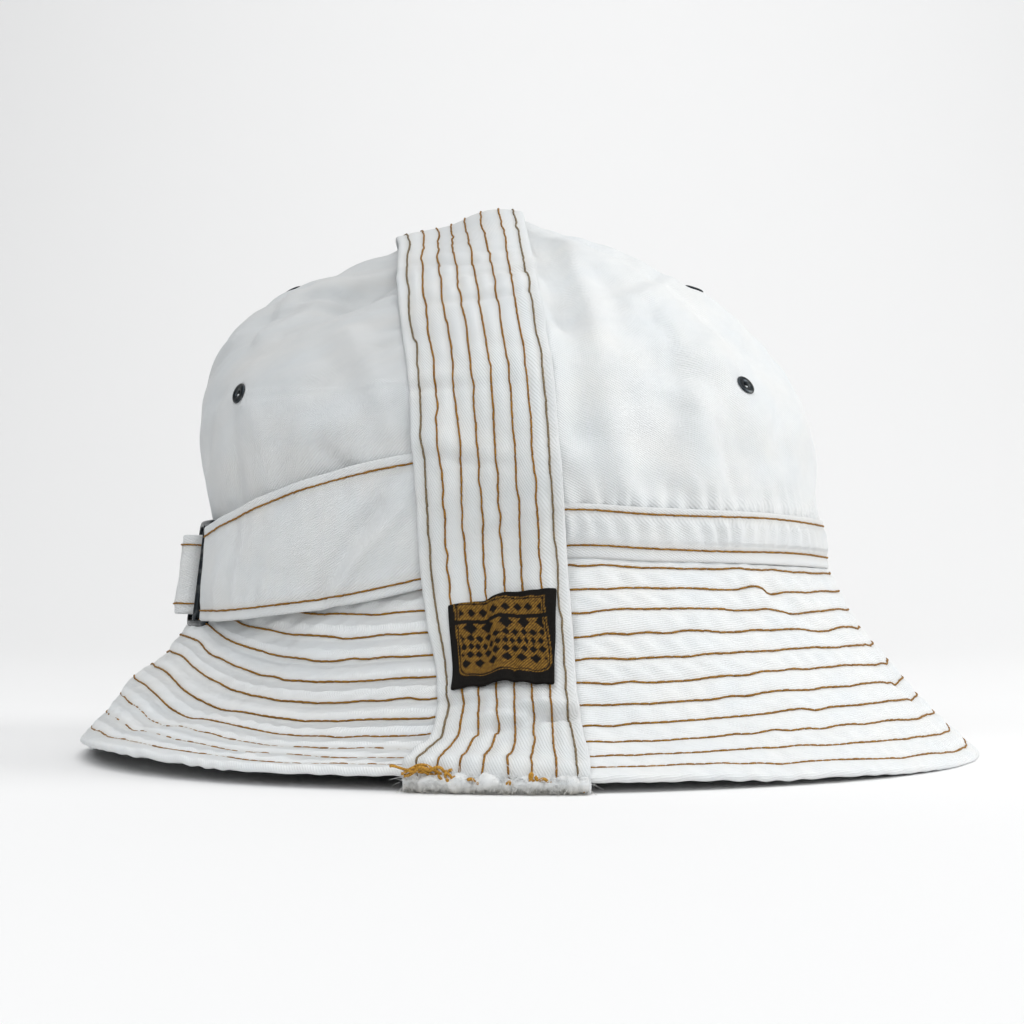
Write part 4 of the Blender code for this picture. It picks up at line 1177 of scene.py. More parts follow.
def strap_seats(across):
    """The points of the hat under the strap, from its right end to its left, and how far each lifts it."""
    rows = []
    lift = []
    stations = [("brim", place, 1) for place in STRAP_BRIM_PLACES]
    stations += [("crown", 180 * step / STRAP_LEANS, 1) for step in range(1, STRAP_LEANS)]
    stations += [("brim", place, -1) for place in reversed(STRAP_BRIM_PLACES)]
    for kind, value, side in stations:
        slack = 0.0
        if kind == "brim":
            shift, width = rows_at(STRAP_SECTIONS, 1 - value)
            flare = 1 + END_FLARE * float(ease((value - FLARE_PLACE) / (1 - FLARE_PLACE)))
            x = CENTRE_X - shift * STRAP_SHIFT + across * width * STRAP_WIDTH * flare
            place = np.full_like(x, value)
            rows.append(brim_point(brim_spot(x, place, side), place))
            front = back = float(ease(1 - (value - TUCK_PLACE) / TUCK_PLACE_FADE))
        else:
            lean = min(value, 180 - value)
            shift, width = rows_at(STRAP_SECTIONS, 1 + lean / 90)
            x = CENTRE_X - shift * STRAP_SHIFT + across * width * STRAP_WIDTH
            rows.append(crown_point(*crown_spot(x, np.full_like(x, value))))
            front = float(ease(1 - (lean - BAND_LEAN) / TUCK_FADE))
            back = float(ease(1 - (lean - BELT_LEAN) / TUCK_FADE))
            slack = STRAP_EASE * float(ease((lean - LOOSE_LEAN) / LOOSE_FADE))
        edge = ease((np.abs(across) - FLAT_ACROSS) / SLOPE_ACROSS)
        tucked = np.where(across > 0, front * (BAND_WALL + 2 * GAP), back * (BELT_WALL + 2 * GAP))
        lift.append(slack + edge * tucked)
    return bridged(stations, np.array(rows)), np.array(lift)


def bridged(stations, seats, passes=6):
    """Seats over the top lifted out of hollows, because the strap is stiffer than the crown under it."""
    high = [index for index, (kind, value, _) in enumerate(stations)
            if kind == "crown" and BRIDGE_LEAN < value < 180 - BRIDGE_LEAN]
    for _ in range(passes):
        for index in high:
            middle = (seats[index - 1] + seats[index + 1]) / 2
            lower = (middle[:, 2] > seats[index][:, 2])[:, None]
            seats[index] = np.where(lower, middle, seats[index])
    return seats


def strap_face():
    """The strap's outer face before its creases, and the shares of its width at its columns."""
    shares = np.linspace(*STRAP_SIDES, STRAP_COLUMNS + 1)
    seats, lift = strap_seats(shares)
    face = seats + outward_of(seats) * (GAP + STRAP_WALL + lift)[..., None]
    ends = []
    for row, side in ((face[0], -1), (face[-1], 1)):
        end = row.copy()
        end[:, 1] += side * STRAP_DROOP
        end[:, 2] = 0.0
        ends.append(end)
    face = np.concatenate([ends[0][None], face, ends[1][None]])
    face = refined(face, STRAP_STEP)
    high = ease((face[..., 2:] - STRAP_SMOOTH_START) / STRAP_SMOOTH_FADE)
    return mix(face, smoothed(face, 24), high), shares


def strap_relief(points, shares):
    """How much the strap is raised by its creases, how much its seams grey it (partly painted shade, partly a
    stain), and where its seams are across it.
    """
    across, up = lengths_of(points)
    side = np.broadcast_to(shares, up.shape)
    width = across[:, -1:]
    lines = STRAP_ROW_SHARE * np.array([-2.5, -1.5, -0.5, 0.5, 1.5, 2.5])
    lines = np.concatenate([[-STRAP_EDGE_SHARE], lines, [STRAP_EDGE_SHARE]])
    near = np.min(np.abs(side[..., None] - lines), axis=-1) * width
    lane = np.searchsorted(lines, side)
    height = -0.00034 * groove(near, STRAP_GROOVE) + 0.00016 * (1 - groove(near, STRAP_SHOULDER))
    height += 0.00045 * waves(lane * 0.7 + 0.2, up, 1.0, 0.0065, 61) * (1 - groove(near, STRAP_PUFF))
    height += layered("strap", across, up, 60)
    for low, slant, bow, wide, depth, middle in STRAP_CREASES:
        place = low + slant * side * 2 + bow * (4 * side * side)
        step = (points[..., 2] - place) / wide
        strength = depth * np.exp(-((side - middle) / 0.34) ** 2)
        height += strength * (np.exp(-(step - 1.3) ** 2) - 1.1 * np.exp(-4 * step * step))
    height *= mix(0.25, 1.0, ease((STRAP_CALM_END - points[..., 2]) / STRAP_CALM_FADE))
    return height, groove(near, SEAM_SHADE_AND_STAIN_REACH), lines


def make_strap():
    """The centre strap with its stitch rows. Returns its face and the shares of its width at its columns."""
    points, shares = strap_face()
    height, seam, lines = strap_relief(points, shares)
    up = lengths_of(points)[1]
    ends = np.minimum(up, up[-1] - up)
    points = raised(points, height * ease(ends / 0.004))
    make_cloth("centre_strap", points, STRAP_WALL, seam, "centre_strap_twill", "strap_twill")
    outward = outward_of(points)
    inner = Seams("strap_stitches", "strap_twill", "thread")
    edge = Seams("strap_edge_stitches", "strap_twill", "edge_thread")
    along = np.linspace(3, len(points) - 4, len(points) * 2)
    for index, line in enumerate(lines):
        wander = 0.0003 * waves(along, along, 14.0, 1e9, 640 + index)
        wander += 0.0003 * waves(along, along, 5.0, 1e9, 660 + index)
        columns = (line - shares[0] + wander / STRAP_WIDTH) / (shares[-1] - shares[0]) * STRAP_COLUMNS
        seams = edge if index in (0, len(lines) - 1) else inner
        seams.add(points, outward, along, columns, 600 + index)
    inner.finish()
    edge.finish()
    return points, shares


def make_fray(name, points, end):
    """One raw end of the strap: a lumpy roll of loosened cloth, fibres that stick out, and tangled threads.

    The end is 0 on the hat's right side and -1 on its left."""
    rng = np.random.default_rng(700 + end)
    side = -1 if end == 0 else 1
    rows = points if end == 0 else points[::-1]
    edge = rows[2]
    out = np.array([0.0, side, 0.0])
    places = np.linspace(0.0, 1.0, FRAY_STATIONS)
    line = points_along(edge, np.linspace(0, 1, len(edge)), places)
    lumps = waves(places * 0.045, 0 * places, 0.0034, 1.0, 710 + end)
    radii = FRAY_RADIUS * (1 + 0.16 * lumps)
    line = line + out * (0.0002 + 0.0004 * lumps)[:, None]
    line[:, 2] = FLOOR_GAP + radii + 0.0002
    corners, faces, weave = rods(line[None], radii[None], np.broadcast_to(out, (1,) + line.shape),
                                 FRAY_SIDES)
    centre = np.repeat(line, FRAY_SIDES, axis=0)
    away = corners - centre
    angle = np.arctan2(away[:, 2], away[:, 1] * side)
    bumps = waves(weave[:, 0], angle * 0.0016, 0.0022, 0.0016, 720 + end)
    bumps += 0.6 * waves(weave[:, 0], angle * 0.0016, 0.0009, 0.0008, 730 + end)
    corners = centre + away * (1 + 0.26 * bumps)[:, None]
    corners[:, 2] = np.maximum(corners[:, 2], FLOOR_GAP)
    new_piece(name + "_roll", corners, faces, {"weave": corners}, "fluff")
    make_fibres(name, line, out, side, rng)
    make_tangles(name, line, out, side, rng)


def make_fibres(name, line, out, side, rng):
    """Short curled fibres that stick out of a raw edge."""
    count = FRAY_FIBRES
    start = line[rng.integers(0, FRAY_STATIONS, count)]
    start = start + rng.uniform(-1, 1, (count, 3)) * np.array([0.0006, 0, 0])
    spin = rng.uniform(-0.5, 1.0, count) * math.pi
    direction = np.stack([rng.normal(0, 0.45, count), side * np.cos(spin), np.sin(spin)], axis=-1)
    start = start + unit(direction) * FRAY_RADIUS * 0.8
    curl = rng.normal(0, 0.8, (count, 3)) - np.array([0.0, 0.0, 0.5])
    steps = np.linspace(0.0, 1.0, FIBRE_STATIONS)[None, :, None]
    length = rng.uniform(0.0005, 0.0019, count)[:, None, None]
    strands = start[:, None] + (unit(direction)[:, None] * steps + curl[:, None] * steps * steps) * length
    width = rng.uniform(0.00006, 0.00012, count)[:, None] * np.linspace(1.0, 0.5, FIBRE_STATIONS)
    strands[..., 2] = np.maximum(strands[..., 2], FLOOR_GAP + width)
    corners, faces, _ = rods(strands, width, np.broadcast_to(out, strands.shape), 3)
    new_piece(name + "_fibres", corners, faces, {"weave": corners}, "fluff")


def make_tangles(name, line, out, side, rng):
    """Loose ends of sewing thread that lie in tangles on a raw edge."""
    steps = np.linspace(0.0, 1.0, TANGLE_STATIONS)
    strands = []
    widths = []
    for place, reach, rise, turns, height in TANGLES:
        middle = line[int(place * (len(line) - 1))]
        phase = rng.uniform(0, 2 * math.pi, 3)
        swing = np.sin(2 * math.pi * turns * steps + phase[0])
        roll = np.cos(2 * math.pi * turns * 1.3 * steps + phase[1])
        x = middle[0] + (steps - 0.5) * reach + 0.25 * rise * roll
        y = middle[1] + side * (FRAY_RADIUS * 0.75 + 0.0004 * swing)
        z = height + rise * (0.6 * swing + 0.4 * np.sin(math.pi * steps))
        strands.append(np.stack([x, y + 0 * steps, np.maximum(z, 0.0006)], axis=-1))
        widths.append(np.full(TANGLE_STATIONS, STITCH_RADIUS * rng.uniform(1.1, 1.6)))
    strands, widths = np.array(strands), np.array(widths)
    corners, faces, weave = rods(strands, widths, np.broadcast_to(out, strands.shape), 6)
    flat = np.zeros(len(corners))
    facts = {"weave": weave, "tint": flat + 0.5, "end": flat}
    new_piece(name + "_tangles", corners, faces, facts, "loose_thread")


def label_pattern(across, up, width, length):
    """A woven label's plain pattern: 1 where the light thread shows and 0 where the ground shows."""
    x, y = across - width / 2, up - length / 2
    half_x, half_y = width / 2 - LABEL_BORDER, length / 2 - (LABEL_BORDER + LABEL_FOOT) / 2
    y -= (LABEL_FOOT - LABEL_BORDER) / 2
    split = half_y - LABEL_BAR
    corner = np.hypot(np.maximum(np.abs(x) - half_x + LABEL_CORNER, 0),
                      np.maximum(-y - half_y + LABEL_CORNER, 0))
    inset = np.minimum(np.minimum(half_x - np.abs(x), half_y - y), LABEL_CORNER - corner)
    field = (inset > 0) & ~((inset > LABEL_LINE) & (inset < 2 * LABEL_LINE))
    line = np.abs(y - split) < 1.6 * LABEL_LINE
    lozenges = np.zeros_like(x, dtype=bool)
    for middle, pitch, tall, wide in LABEL_LOZENGES:
        offset = np.abs((x / pitch + middle * 10) % 1 - 0.5) / wide
        lozenges |= offset + np.abs(y / length - middle) / tall < 0.5
    return (field & ~line & ~(lozenges & (inset > 3 * LABEL_LINE))).astype(float)


def make_label(strap, shares):
    """The woven label on the right end of the strap."""
    middle = strap[:, STRAP_COLUMNS // 2]
    ways = way_along(middle)
    start = np.interp(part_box("label")[0][2] + 0.0010, middle[:80, 2], ways[:80])
    span = STRAP_SIDES[1] - STRAP_SIDES[0]
    margin = (LABEL_MARGIN / STRAP_WIDTH - (0.5 + STRAP_SIDES[0])) / span
    row_share, side = np.meshgrid(np.arange(LABEL_ROWS + 1) / LABEL_ROWS,
                                  np.linspace(margin, 1 - margin, LABEL_COLUMNS + 1), indexing="ij")
    step = rows_at(LABEL_RISE, (side - margin) / (1 - 2 * margin))[0]
    grid_rows = np.interp(start + LABEL_LENGTH * row_share + step, ways, np.arange(len(ways)))
    grid_columns = (side + LABEL_SHEAR * (row_share - 0.5) + LABEL_ASIDE) * STRAP_COLUMNS
    under = smoothed(read_grid(strap, grid_rows, grid_columns), 24)
    points = under + outward_of(under) * (GAP + LABEL_WALL)
    across, up = lengths_of(points)
    share = across / across[:, -1:]
    ripple = 0.0010 * ease((share - 0.30) / 0.12) * ease((1.1 - share) / 0.6)
    ripple -= 0.0006 * np.exp(-((share - 0.62) / 0.05) ** 2) + 0.0005 * np.exp(-((share - 0.84) / 0.05) ** 2)
    height = 0.0002 + ripple + layered("label", across, up, 70)
    gold = label_pattern(across, up, float(across[:, -1].mean()), LABEL_LENGTH)
    thread = np.cos(2 * math.pi * up / 0.0007) * 0.5 + 0.5
    points = raised(points, height + 0.00008 * gold + 0.00004 * thread)
    make_cloth("label", points, LABEL_WALL, 0.0, "woven_label", "label_cloth", gold=gold)


def belt_edges(way, width):
    """The low and top edge of a belt, and how far they stand off, at a share of its way."""
    middle, share, top_stand, low_stand = rows_at(BELT_SECTIONS, way)
    half = share * width / 2
    return (middle * JOINT_HEIGHT - half, middle * JOINT_HEIGHT + half,
            low_stand * BELT_STAND, top_stand * BELT_STAND)


BAR_STAND = BUCKLE_WIRE / 2 + BELT_WALL - GAP / 2


def belt_start(side):
    """The turn at which a belt ends under the strap's back edge."""
    shift, width = rows_at(STRAP_SECTIONS, 1.0)
    edge = CENTRE_X - shift * STRAP_SHIFT - width * STRAP_WIDTH / 2 + TUCK
    _, centre, half_length, _ = crown_section(0.0)
    return side * math.degrees(math.acos((edge - centre) / half_length))


def near_belt_route(steps=14, bends=6):
    """Way, turn, stand and looseness of the near belt's inner face, which ends in a loop round a bar."""
    start, bar = belt_start(1), turn_along(BUCKLE_TURN, -BUCKLE_WIDTH / 2)
    over = BAR_STAND + BUCKLE_WIRE / 2 + GAP
    loop = BUCKLE_WIRE / 2 + GAP
    route = []
    for way in np.linspace(0.0, 1.0, steps + 1):
        rise = float(ease((way - RISE_START) / (1 - RISE_START)))
        route.append((way, mix(start, bar, way), GAP * (1 - rise) + over * rise, 1 - rise))
    for step in range(1, bends + 1):
        angle = math.pi * step / bends
        turn = turn_along(bar, loop * math.sin(angle))
        route.append((1.0, turn, BAR_STAND + loop * math.cos(angle), 0.0))
    route.append((1.0, turn_along(bar, -BELT_RETURN), BAR_STAND - loop, 0.0))
    return route


def far_belt_route(steps=14, bends=6):
    """Way, turn, stand and looseness of the far belt's outer face, which loops round a bar and back."""
    start, bar = belt_start(-1) + 360, turn_along(BUCKLE_TURN, BUCKLE_WIDTH / 2)
    under = BAR_STAND - BUCKLE_WIRE / 2 - GAP
    middle = (under + BAR_STAND + LOOP_BULGE) / 2
    route = []
    for way in np.linspace(0.0, 1.0, steps + 1):
        route.append((way, mix(start, bar, way), mix(GAP + BELT_WALL, under, way), 1 - way))
    for step in range(1, bends + 1):
        angle = math.pi * step / bends
        turn = turn_along(bar, -LOOP_FORWARD * math.sin(angle))
        route.append((1.0, turn, middle - (middle - under) * math.cos(angle), 0.0))
    for share in (0.5, 1.0):
        route.append((1.0, turn_along(bar, FREE_END * share), 2 * middle - under - share * GAP, 0.0))
    return route


def belt_face(route, width):
    """The face of a belt on its route: a row up its width for each column along it."""
    way, turn, stand, loose = (np.array(values)[None] for values in zip(*route))
    share = np.linspace(0.0, 1.0, BELT_ROWS)[:, None]
    low, top, low_stand, top_stand = belt_edges(way, width)
    extra = mix(low_stand, top_stand, share) * loose - BUCKLE_LEAN * (1 - share) * ease((way - 0.8) / 0.2)
    level_out = ease((way - LEVEL_START) / (LEVEL_END - LEVEL_START))
    line_low = mix(low, BUCKLE_LOW, level_out)
    line_top = mix(top, BUCKLE_LOW + BUCKLE_HEIGHT, level_out)
    parts = (wrapped(turn), mix(low, top, share), line_low, line_top, stand + extra)
    return belt_point(*(np.broadcast_to(values, (BELT_ROWS, len(route))) for values in parts))


def make_belt(name, route, width, inner_route):
    """A belt with stitches along both edges. Its route follows its inner face, or else its outer one."""
    columns = refined(np.swapaxes(belt_face(route, width), 0, 1), CLOTH_STEP)
    points = refined(np.swapaxes(columns, 0, 1), CLOTH_STEP)
    if inner_route:
        points = points[:, ::-1]
        points = points + outward_of(points) * BELT_WALL
    across, up = lengths_of(points)
    edge = np.minimum(up, up[-1:] - up)
    near = np.abs(edge - BELT_ROW_MARGIN)
    seed = 80 if inner_route else 90
    gather = across / BELT_GATHER_PITCH + 0.5 * waves(across, up, 0.014, 0.012, seed)
    height = -0.00028 * groove(near, BELT_GROOVE)
    inside = groove(edge - BELT_ROW_MARGIN - 0.003, BELT_SHOULDER)
    height += BELT_GATHER_RISE * inside * np.cos(2 * math.pi * gather)
    height += layered("belt", across, up, seed)
    if inner_route:
        last_row, last_column = len(points) - 1, points.shape[1] - 1
        lines = [(read_grid(points, np.array(rows) * last_row, np.array(columns) * last_column), wide, rise)
                 for columns, rows, wide, rise in BELT_CREASES]
        height += creased(points, lines)
    border = np.minimum(across, across[:, -1:] - across)
    points = raised(points, height * ease(border / 0.003))
    # The seam value greys the belt along its stitch rows: partly painted shade, partly a stain.
    make_cloth(name, points, BELT_WALL, groove(near, SEAM_SHADE_AND_STAIN_REACH), "belt_twill", "belt_twill")
    outward = outward_of(points)
    seams = Seams(name + "_stitches", "belt_twill", "thread")
    along = np.linspace(0, points.shape[1] - 1, points.shape[1] * 2)
    total = up[-1][along.astype(int)]
    for index, goal in enumerate((BELT_ROW_MARGIN, total - BELT_ROW_MARGIN)):
        rows = goal / total * (len(points) - 1)
        seams.add(points, outward, rows, along, seed * 10 + index)
        if not inner_route:
            seams.add(points - outward * BELT_WALL, -outward, rows, along, seed * 10 + index)
    seams.finish()


def buckle_spot(across, height):
    """A point of the buckle's middle line: across in metres from its middle bar, and a height."""
    low, top = BUCKLE_LOW, BUCKLE_LOW + BUCKLE_HEIGHT
    turn = np.array(turn_along(BUCKLE_TURN, across))
    stand = BAR_STAND - BUCKLE_LEAN * (top - height) / (top - low)
    values = [np.array(value) for value in (height, low, top, stand)]
    return belt_point(turn, *values)


def make_buckle():
    """The wire slide buckle: a rounded frame with a bar across its middle."""
    half = BUCKLE_WIDTH / 2
    low = BUCKLE_LOW + BUCKLE_WIRE / 2
    top = BUCKLE_LOW + BUCKLE_HEIGHT - BUCKLE_WIRE / 2
    outline = []
    for side, height, first in ((1, top, 0), (-1, top, 90), (-1, low, 180), (1, low, 270)):
        up = 1 if height == top else -1
        for step in range(7):
            angle = math.radians(first + 15 * step)
            outline.append((side * (half - BUCKLE_CORNER) + BUCKLE_CORNER * math.cos(angle),
                            height - up * BUCKLE_CORNER + BUCKLE_CORNER * math.sin(angle)))
        if first in (0, 180):
            outline.extend((side * (half - BUCKLE_CORNER) * (1 - share), height) for share in (0.5, 1.0, 1.5))
        else:
            outline.extend((side * half, mix(top, low, share) if first == 90 else mix(low, top, share))
                           for share in (0.3, 0.5, 0.7))
    frame_line = np.array([buckle_spot(*spot) for spot in outline])
    bar_line = np.array([buckle_spot(0.0, mix(low, top, share)) for share in np.linspace(0.0, 1.0, 9)])
    sides = 14
    corners, faces = ring_of(frame_line, BUCKLE_WIRE / 2, sides)
    outward = np.broadcast_to(joint_frame(np.array(BUCKLE_TURN))[1], (1, 9, 3))
    radii = np.full((1, 9), BUCKLE_WIRE / 2 * 0.92)
    bar_corners, bar_faces, _ = rods(bar_line[None], radii, outward, sides)
    faces = faces + [[corner + len(corners) for corner in face] for face in bar_faces]
    corners = np.concatenate([corners, bar_corners])
    new_piece("buckle_wire", corners, faces, {"weave": corners}, "gunmetal", ["buckle"])


def ring_of(line, radius, sides):
    """A closed wire ring along a loop of points: corners and faces."""
    along = unit(np.roll(line, -1, axis=0) - np.roll(line, 1, axis=0))
    outward = joint_frame(np.array(BUCKLE_TURN))[1]
    side = unit(np.cross(along, outward))
    up = np.cross(side, along)
    angles = np.arange(sides) * 2 * math.pi / sides
    ring = side[:, None] * np.cos(angles)[:, None] + up[:, None] * np.sin(angles)[:, None]
    corners = line[:, None] + ring * radius
    number = np.arange(len(line) * sides).reshape(len(line), sides)
    after = np.roll(number, -1, axis=0)
    faces = np.stack([number, np.roll(number, -1, axis=1), np.roll(after, -1, axis=1), after], axis=-1)
    return corners.reshape(-1, 3), faces.reshape(-1, 4).tolist()


def make_floor():
    """A pale floor that bends up into a backdrop."""
    profile = [(-3.0, 0.0), (SWEEP_START, 0.0)]
    profile += [(SWEEP_START + SWEEP * math.sin(angle), SWEEP - SWEEP * math.cos(angle))
                for angle in np.linspace(0.0, math.pi / 2, 17)[1:]]
    profile.append((SWEEP_START + SWEEP, 4.5))
    corners = [(x, y, z) for y, z in profile for x in (-4.0, 4.0)]
    faces = [(2 * row, 2 * row + 1, 2 * row + 3, 2 * row + 2) for row in range(len(profile) - 1)]
    mesh = bpy.data.meshes.new("floor")
    mesh.from_pydata(corners, [], faces)
    mesh.shade_smooth()
    mesh.materials.append(material_of("floor"))
    floor = bpy.data.objects.new("floor", mesh)
    bpy.context.scene.collection.objects.link(floor)


class Graph:
    """A material's nodes, added and linked one by one."""

    def __init__(self, name):
        self.material = material_of(name)
        self.material.use_nodes = True
        self.tree = self.material.node_tree
        self.shader = self.tree.nodes["Principled BSDF"]

    def put(self, socket, value):
        """Give a socket a number, a colour or another node's output."""
        if isinstance(value, bpy.types.NodeSocket):
            self.tree.links.new(value, socket)
        elif socket.type == "RGBA":
            socket.default_value = (*value, 1.0)
        else:
            socket.default_value = value

    def add(self, kind, output=0, settings=None, **inputs):
        """Add a node with settings and named inputs, and give back one of its outputs."""
        node = self.tree.nodes.new("ShaderNode" + kind)
        for key, value in (settings or {}).items():
            setattr(node, key, value)
        for key, value in inputs.items():
            self.put(node.inputs[key.replace("_", " ")], value)
        return node.outputs[output]

    def fact(self, name, vector=False):
        """A point attribute of the mesh, as a vector or as a number."""
        return self.add("Attribute", "Vector" if vector else "Fac", {"attribute_name": name})

    def math(self, operation, first, second=0.0):
        """A sum, product or other calculation with two numbers."""
        node = self.tree.nodes.new("ShaderNodeMath")
        node.operation = operation
        self.put(node.inputs[0], first)
        self.put(node.inputs[1], second)
        return node.outputs[0]

    def total(self, *terms):
        """The sum of values, each with its weight."""
        whole, *others = (self.math("MULTIPLY", value, weight) for value, weight in terms)
        for other in others:
            whole = self.math("ADD", whole, other)
        return whole

    def short_of(self, value, weight):
        """How much a value falls short of 1, times a weight."""
        return self.math("MULTIPLY", self.math("SUBTRACT", 1.0, value), weight)

    def blend(self, share, low, high):
        """A colour between two colours."""
        node = self.tree.nodes.new("ShaderNodeMix")
        node.data_type = "RGBA"
        self.put(node.inputs["Factor"], share)
        self.put(node.inputs["A"], low)
        self.put(node.inputs["B"], high)
        return node.outputs["Result"]

    def spread(self, value, low, high):
        """A number from 0 to 1 made to run from low to high."""
        return self.math("ADD", self.math("MULTIPLY", value, high - low), low)

    def noise(self, vector, size, detail=2.0):
        """Smooth noise from 0 to 1 with features of a size in metres."""
        return self.add("TexNoise", "Fac", Vector=vector, Scale=1.0 / size, Detail=detail)

    def bands(self, vector, period, distortion=0.0, detail=1.0):
        """Even ridges across the vector's X, a period in metres apart."""
        return self.add("TexWave", "Fac", {"wave_type": "BANDS", "bands_direction": "X"}, Vector=vector,
                        Scale=math.pi / 10 / period, Distortion=distortion, Detail=detail, Detail_Scale=1.5)

    def turned(self, vector, angle):
        """A vector turned by an angle in degrees in its own plane."""
        return self.add("VectorRotate", 0, {"rotation_type": "Z_AXIS"}, Vector=vector,
                        Angle=math.radians(angle))

    def finish(self, colour, roughness, height=None, depth=0.0, strength=1.0, **more):
        """Give the shader its colour, its roughness, its bump and other named inputs."""
        for key, value in {"Base_Color": colour, "Roughness": roughness, **more}.items():
            self.put(self.shader.inputs[key.replace("_", " ")], value)
        if height is not None:
            bump = self.add("Bump", "Normal", Height=height, Distance=depth, Strength=strength)
            self.put(self.shader.inputs["Normal"], bump)


def make_twill(name, twill_angle, painted_brightness):
    """White cotton twill: fine slanting ridges with painted shade in their valleys, soft slubs, faint stains,
    a greyer tone along seams that is partly painted shade and partly a stain, and painted light and shade for
    each piece.
    """
    graph = Graph(name)
    weave = graph.fact("weave", vector=True)
    seam = graph.fact("seam")
    ridges = graph.bands(graph.turned(weave, twill_angle), TWILL_PERIOD, 0.8, 1.0)
    threads = graph.bands(weave, YARN_PERIOD, 1.5, 1.0)
    fibres = graph.noise(weave, 0.0006, 3.0)
    slubs = graph.noise(weave, 0.0045, 3.0)
    cloudy = graph.noise(weave, 0.022, 3.0)
    # Painted light and shade: the brightness scales the whole white of each piece.
    cool, warm = painted_brightness * np.array(COOL_WHITE), painted_brightness * np.array(WARM_WHITE)
    white = graph.blend(graph.spread(cloudy, -0.3, 1.3), cool, warm)
    # Painted shade: the valleys between the twill's ridges are darkened.
    white = graph.blend(graph.short_of(ridges, 0.16), white, TWILL_SHADE_AND_SLUB_GREY)
    # The slubs turn greyer in random patches, a tone of the yarn.
    white = graph.blend(graph.math("MULTIPLY", graph.spread(slubs, -0.6, 1.0), 0.16), white, TWILL_SHADE_AND_SLUB_GREY)
    # Along the seams the white turns greyer and warmer: partly painted shade in the grooves and partly a
    # stain.
    white = graph.blend(graph.math("MULTIPLY", seam, 0.35), white, SEAM_SHADE_AND_STAIN)
    height = graph.total((ridges, 0.60), (threads, 0.12), (fibres, 0.30), (slubs, 0.45))
    graph.finish(white, graph.spread(slubs, 0.80, 0.98), height, 0.00022, 0.75, Sheen_Weight=0.12,
                 Sheen_Roughness=0.5, Specular_IOR_Level=0.25)


def make_thread(name, dark, middle, light):
    """Twisted sewing thread, with painted shade between its plies and where it dives into the cloth, and a
    little different in each stitch.
    """
    graph = Graph(name)
    weave = graph.fact("weave", vector=True)
    sheared = graph.add("Mapping", 0, {"vector_type": "TEXTURE"}, Vector=weave, Scale=(1.0, 900.0, 1.0))
    plies = graph.bands(graph.turned(sheared, 38.0), 0.00055, 0.4, 1.0)
    fuzz = graph.noise(weave, 0.0005, 2.0)
    colour = graph.blend(graph.spread(graph.fact("tint"), 0.1, 0.9), middle, light)
    # Painted shade in the valleys between the plies.
    colour = graph.blend(graph.short_of(plies, 0.55), colour, dark)
    # Painted shade where the stitch dives into the cloth.
    colour = graph.blend(graph.math("MULTIPLY", graph.fact("end"), 0.85), colour, dark)
    colour = graph.blend(graph.math("MULTIPLY", fuzz, 0.25), colour, light)
    height = graph.total((plies, 1.0), (fuzz, 0.4))
    graph.finish(colour, graph.spread(fuzz, 0.45, 0.75), height, 0.00012, 0.8, Specular_IOR_Level=0.25)


def make_label_cloth():
    """A woven label: black ground with lighter threads laid over it, in fine ribs."""
    graph = Graph("woven_label")
    weave = graph.fact("weave", vector=True)
    ribs = graph.bands(graph.turned(weave, 90.0), LABEL_RIB, 0.3, 1.0)
    ends = graph.bands(weave, LABEL_RIB * 1.3, 0.3, 1.0)
    rough = graph.noise(weave, 0.0009, 3.0)
    worn = graph.noise(weave, 0.0060, 3.0)
    gold = graph.blend(graph.spread(rough, -0.4, 1.4), LABEL_BROWN, LABEL_GOLD)
    strokes = graph.bands(graph.turned(weave, 42.0), LABEL_RIB * 1.6, 1.0, 1.0)
    gold = graph.blend(graph.short_of(strokes, 0.70), gold, LABEL_BLACK)
    black = graph.blend(graph.math("MULTIPLY", worn, 0.05), LABEL_BLACK, LABEL_BROWN)
    colour = graph.blend(graph.fact("gold"), black, gold)
    height = graph.total((ribs, 0.6), (ends, 0.4))
    graph.finish(colour, graph.spread(rough, 0.60, 0.90), height, 0.00016, 0.9, Specular_IOR_Level=0.10)


def make_gunmetal():
    """Dark blackened metal, scuffed to bare grey here and there."""
    graph = Graph("gunmetal")
    place = graph.fact("weave", vector=True)
    scuffs = graph.noise(place, 0.0035, 5.0)
    grain = graph.noise(place, 0.0005, 3.0)
    sharp = graph.add("MapRange", "Result", None, Value=scuffs, From_Min=0.50, From_Max=0.68)
    colour = graph.blend(graph.math("MULTIPLY", sharp, 0.7), METAL_DARK, METAL_WORN)
    graph.finish(colour, graph.spread(grain, 0.22, 0.46), grain, 0.00005, 0.5, Metallic=0.95)


def make_fluff():
    """Loose cotton fibres at a raw edge."""
    graph = Graph("fluff")
    place = graph.fact("weave", vector=True)
    tone = graph.noise(place, 0.0020, 2.0)
    height = graph.add("SeparateXYZ", "Z", None, Vector=place)
    low = graph.add("MapRange", "Result", None, Value=height, From_Min=0.0030, From_Max=0.0002)
    colour = graph.blend(tone, WARM_WHITE, COOL_WHITE)
    # Towards the floor, over the lowest 3 mm, the fluff is blended darker and browner.
    colour = graph.blend(graph.math("MULTIPLY", low, graph.spread(tone, -0.1, 1.1)), colour, FRAY_LOW_BROWN)
    fuzz = graph.noise(place, 0.0004, 4.0)
    graph.finish(colour, graph.spread(tone, 0.85, 1.0), fuzz, 0.0003, 1.0, Sheen_Weight=0.2)


def make_pale_floor():
    """A plain matt white floor."""
    graph = Graph("floor")
    graph.finish(FLOOR_WHITE, 0.95, Specular_IOR_Level=0.0)


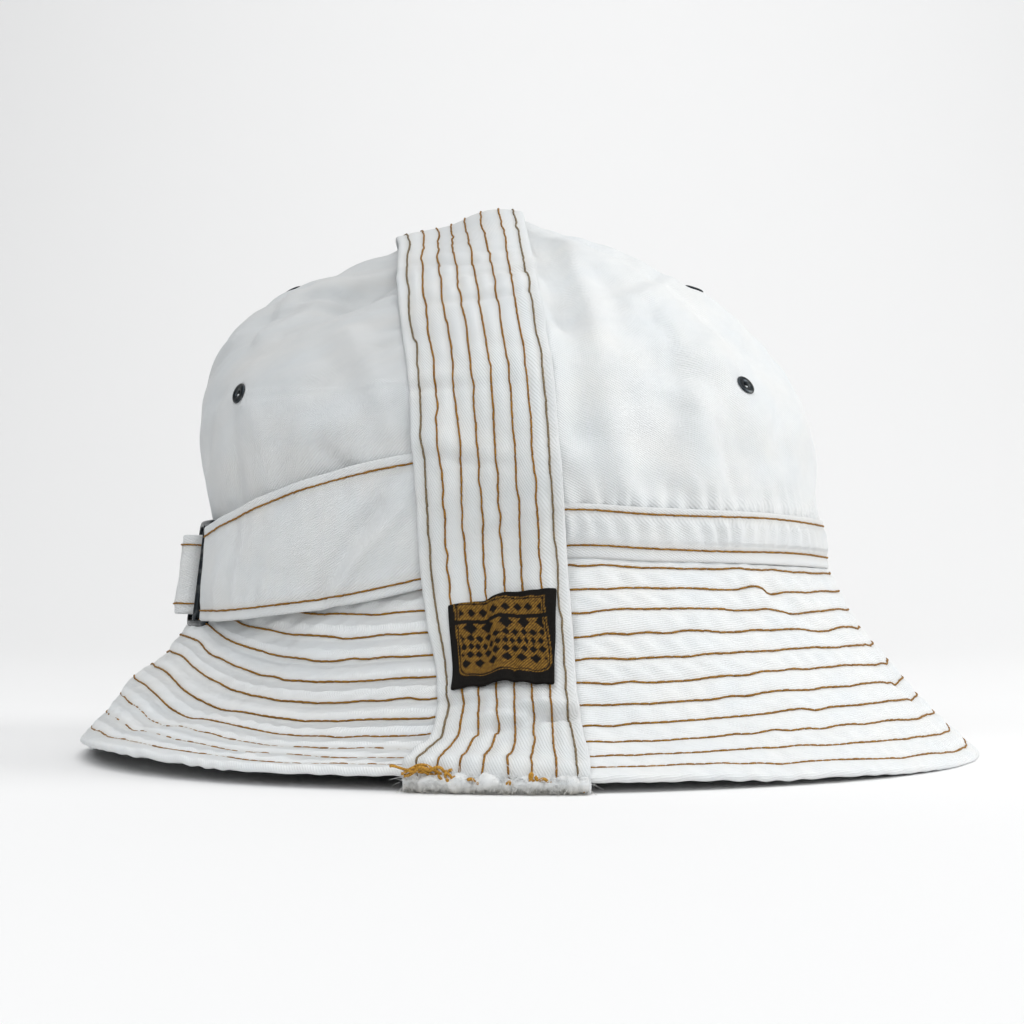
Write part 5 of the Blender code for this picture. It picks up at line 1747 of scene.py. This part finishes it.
def make_camera():
    """The camera, at the photo's angle."""
    camera = bpy.data.cameras.new("camera")
    camera.sensor_width = 36.0
    camera.lens = CAMERA_LENS
    spot = bpy.data.objects.new("camera", camera)
    bpy.context.scene.collection.objects.link(spot)
    spot.location = CAMERA_SPOT
    spot.rotation_euler = (math.radians(90.0 + CAMERA_PITCH), 0.0, 0.0)
    bpy.context.scene.camera = spot


def make_light(name, spot, goal, width, height, power, colour):
    """A soft box that shines from a spot towards a goal."""
    light = bpy.data.lights.new(name, "AREA")
    light.shape = "RECTANGLE"
    light.size = width
    light.size_y = height
    light.energy = power
    light.color = colour
    lamp = bpy.data.objects.new(name, light)
    lamp.location = spot
    lamp.rotation_euler = (Vector(goal) - Vector(spot)).to_track_quat("-Z", "Y").to_euler()
    bpy.context.scene.collection.objects.link(lamp)


def make_lights():
    """A bright white studio: light from above and from the right, and soft light all round."""
    world = bpy.data.worlds.new("studio")
    bpy.context.scene.world = world
    world.use_nodes = True
    background = world.node_tree.nodes["Background"]
    background.inputs["Color"].default_value = WORLD_COLOUR
    background.inputs["Strength"].default_value = WORLD_STRENGTH
    for light in LIGHTS:
        make_light(*light)


def make_materials():
    """Every material."""
    for name, twill_angle, painted_brightness in TWILLS:
        make_twill(name, twill_angle, painted_brightness)
    make_thread("thread", THREAD_DARK, THREAD_MIDDLE, THREAD_LIGHT)
    make_thread("edge_thread", EDGE_THREAD_DARK, EDGE_THREAD_MIDDLE, EDGE_THREAD_LIGHT)
    make_thread("loose_thread", LOOSE_THREAD_DARK, LOOSE_THREAD_MIDDLE, LOOSE_THREAD_LIGHT)
    make_label_cloth()
    make_gunmetal()
    make_fluff()
    make_pale_floor()


make_materials()
make_camera()
make_lights()
make_floor()
make_crown_half("crown_front", 0)
make_crown_half("crown_back", 180)
make_brim_half("brim_front", 0)
make_brim_half("brim_back", 180)
make_band()
STRAP, STRAP_SHARES = make_strap()
make_fray("strap_end_right", STRAP, 0)
make_fray("strap_end_left", STRAP, -1)
make_label(STRAP, STRAP_SHARES)
make_belt("belt_near", near_belt_route(), NEAR_BELT_WIDTH, True)
make_belt("belt_far", far_belt_route(), FAR_BELT_WIDTH, False)
make_buckle()
bpy.context.scene.view_settings.view_transform = "Standard"
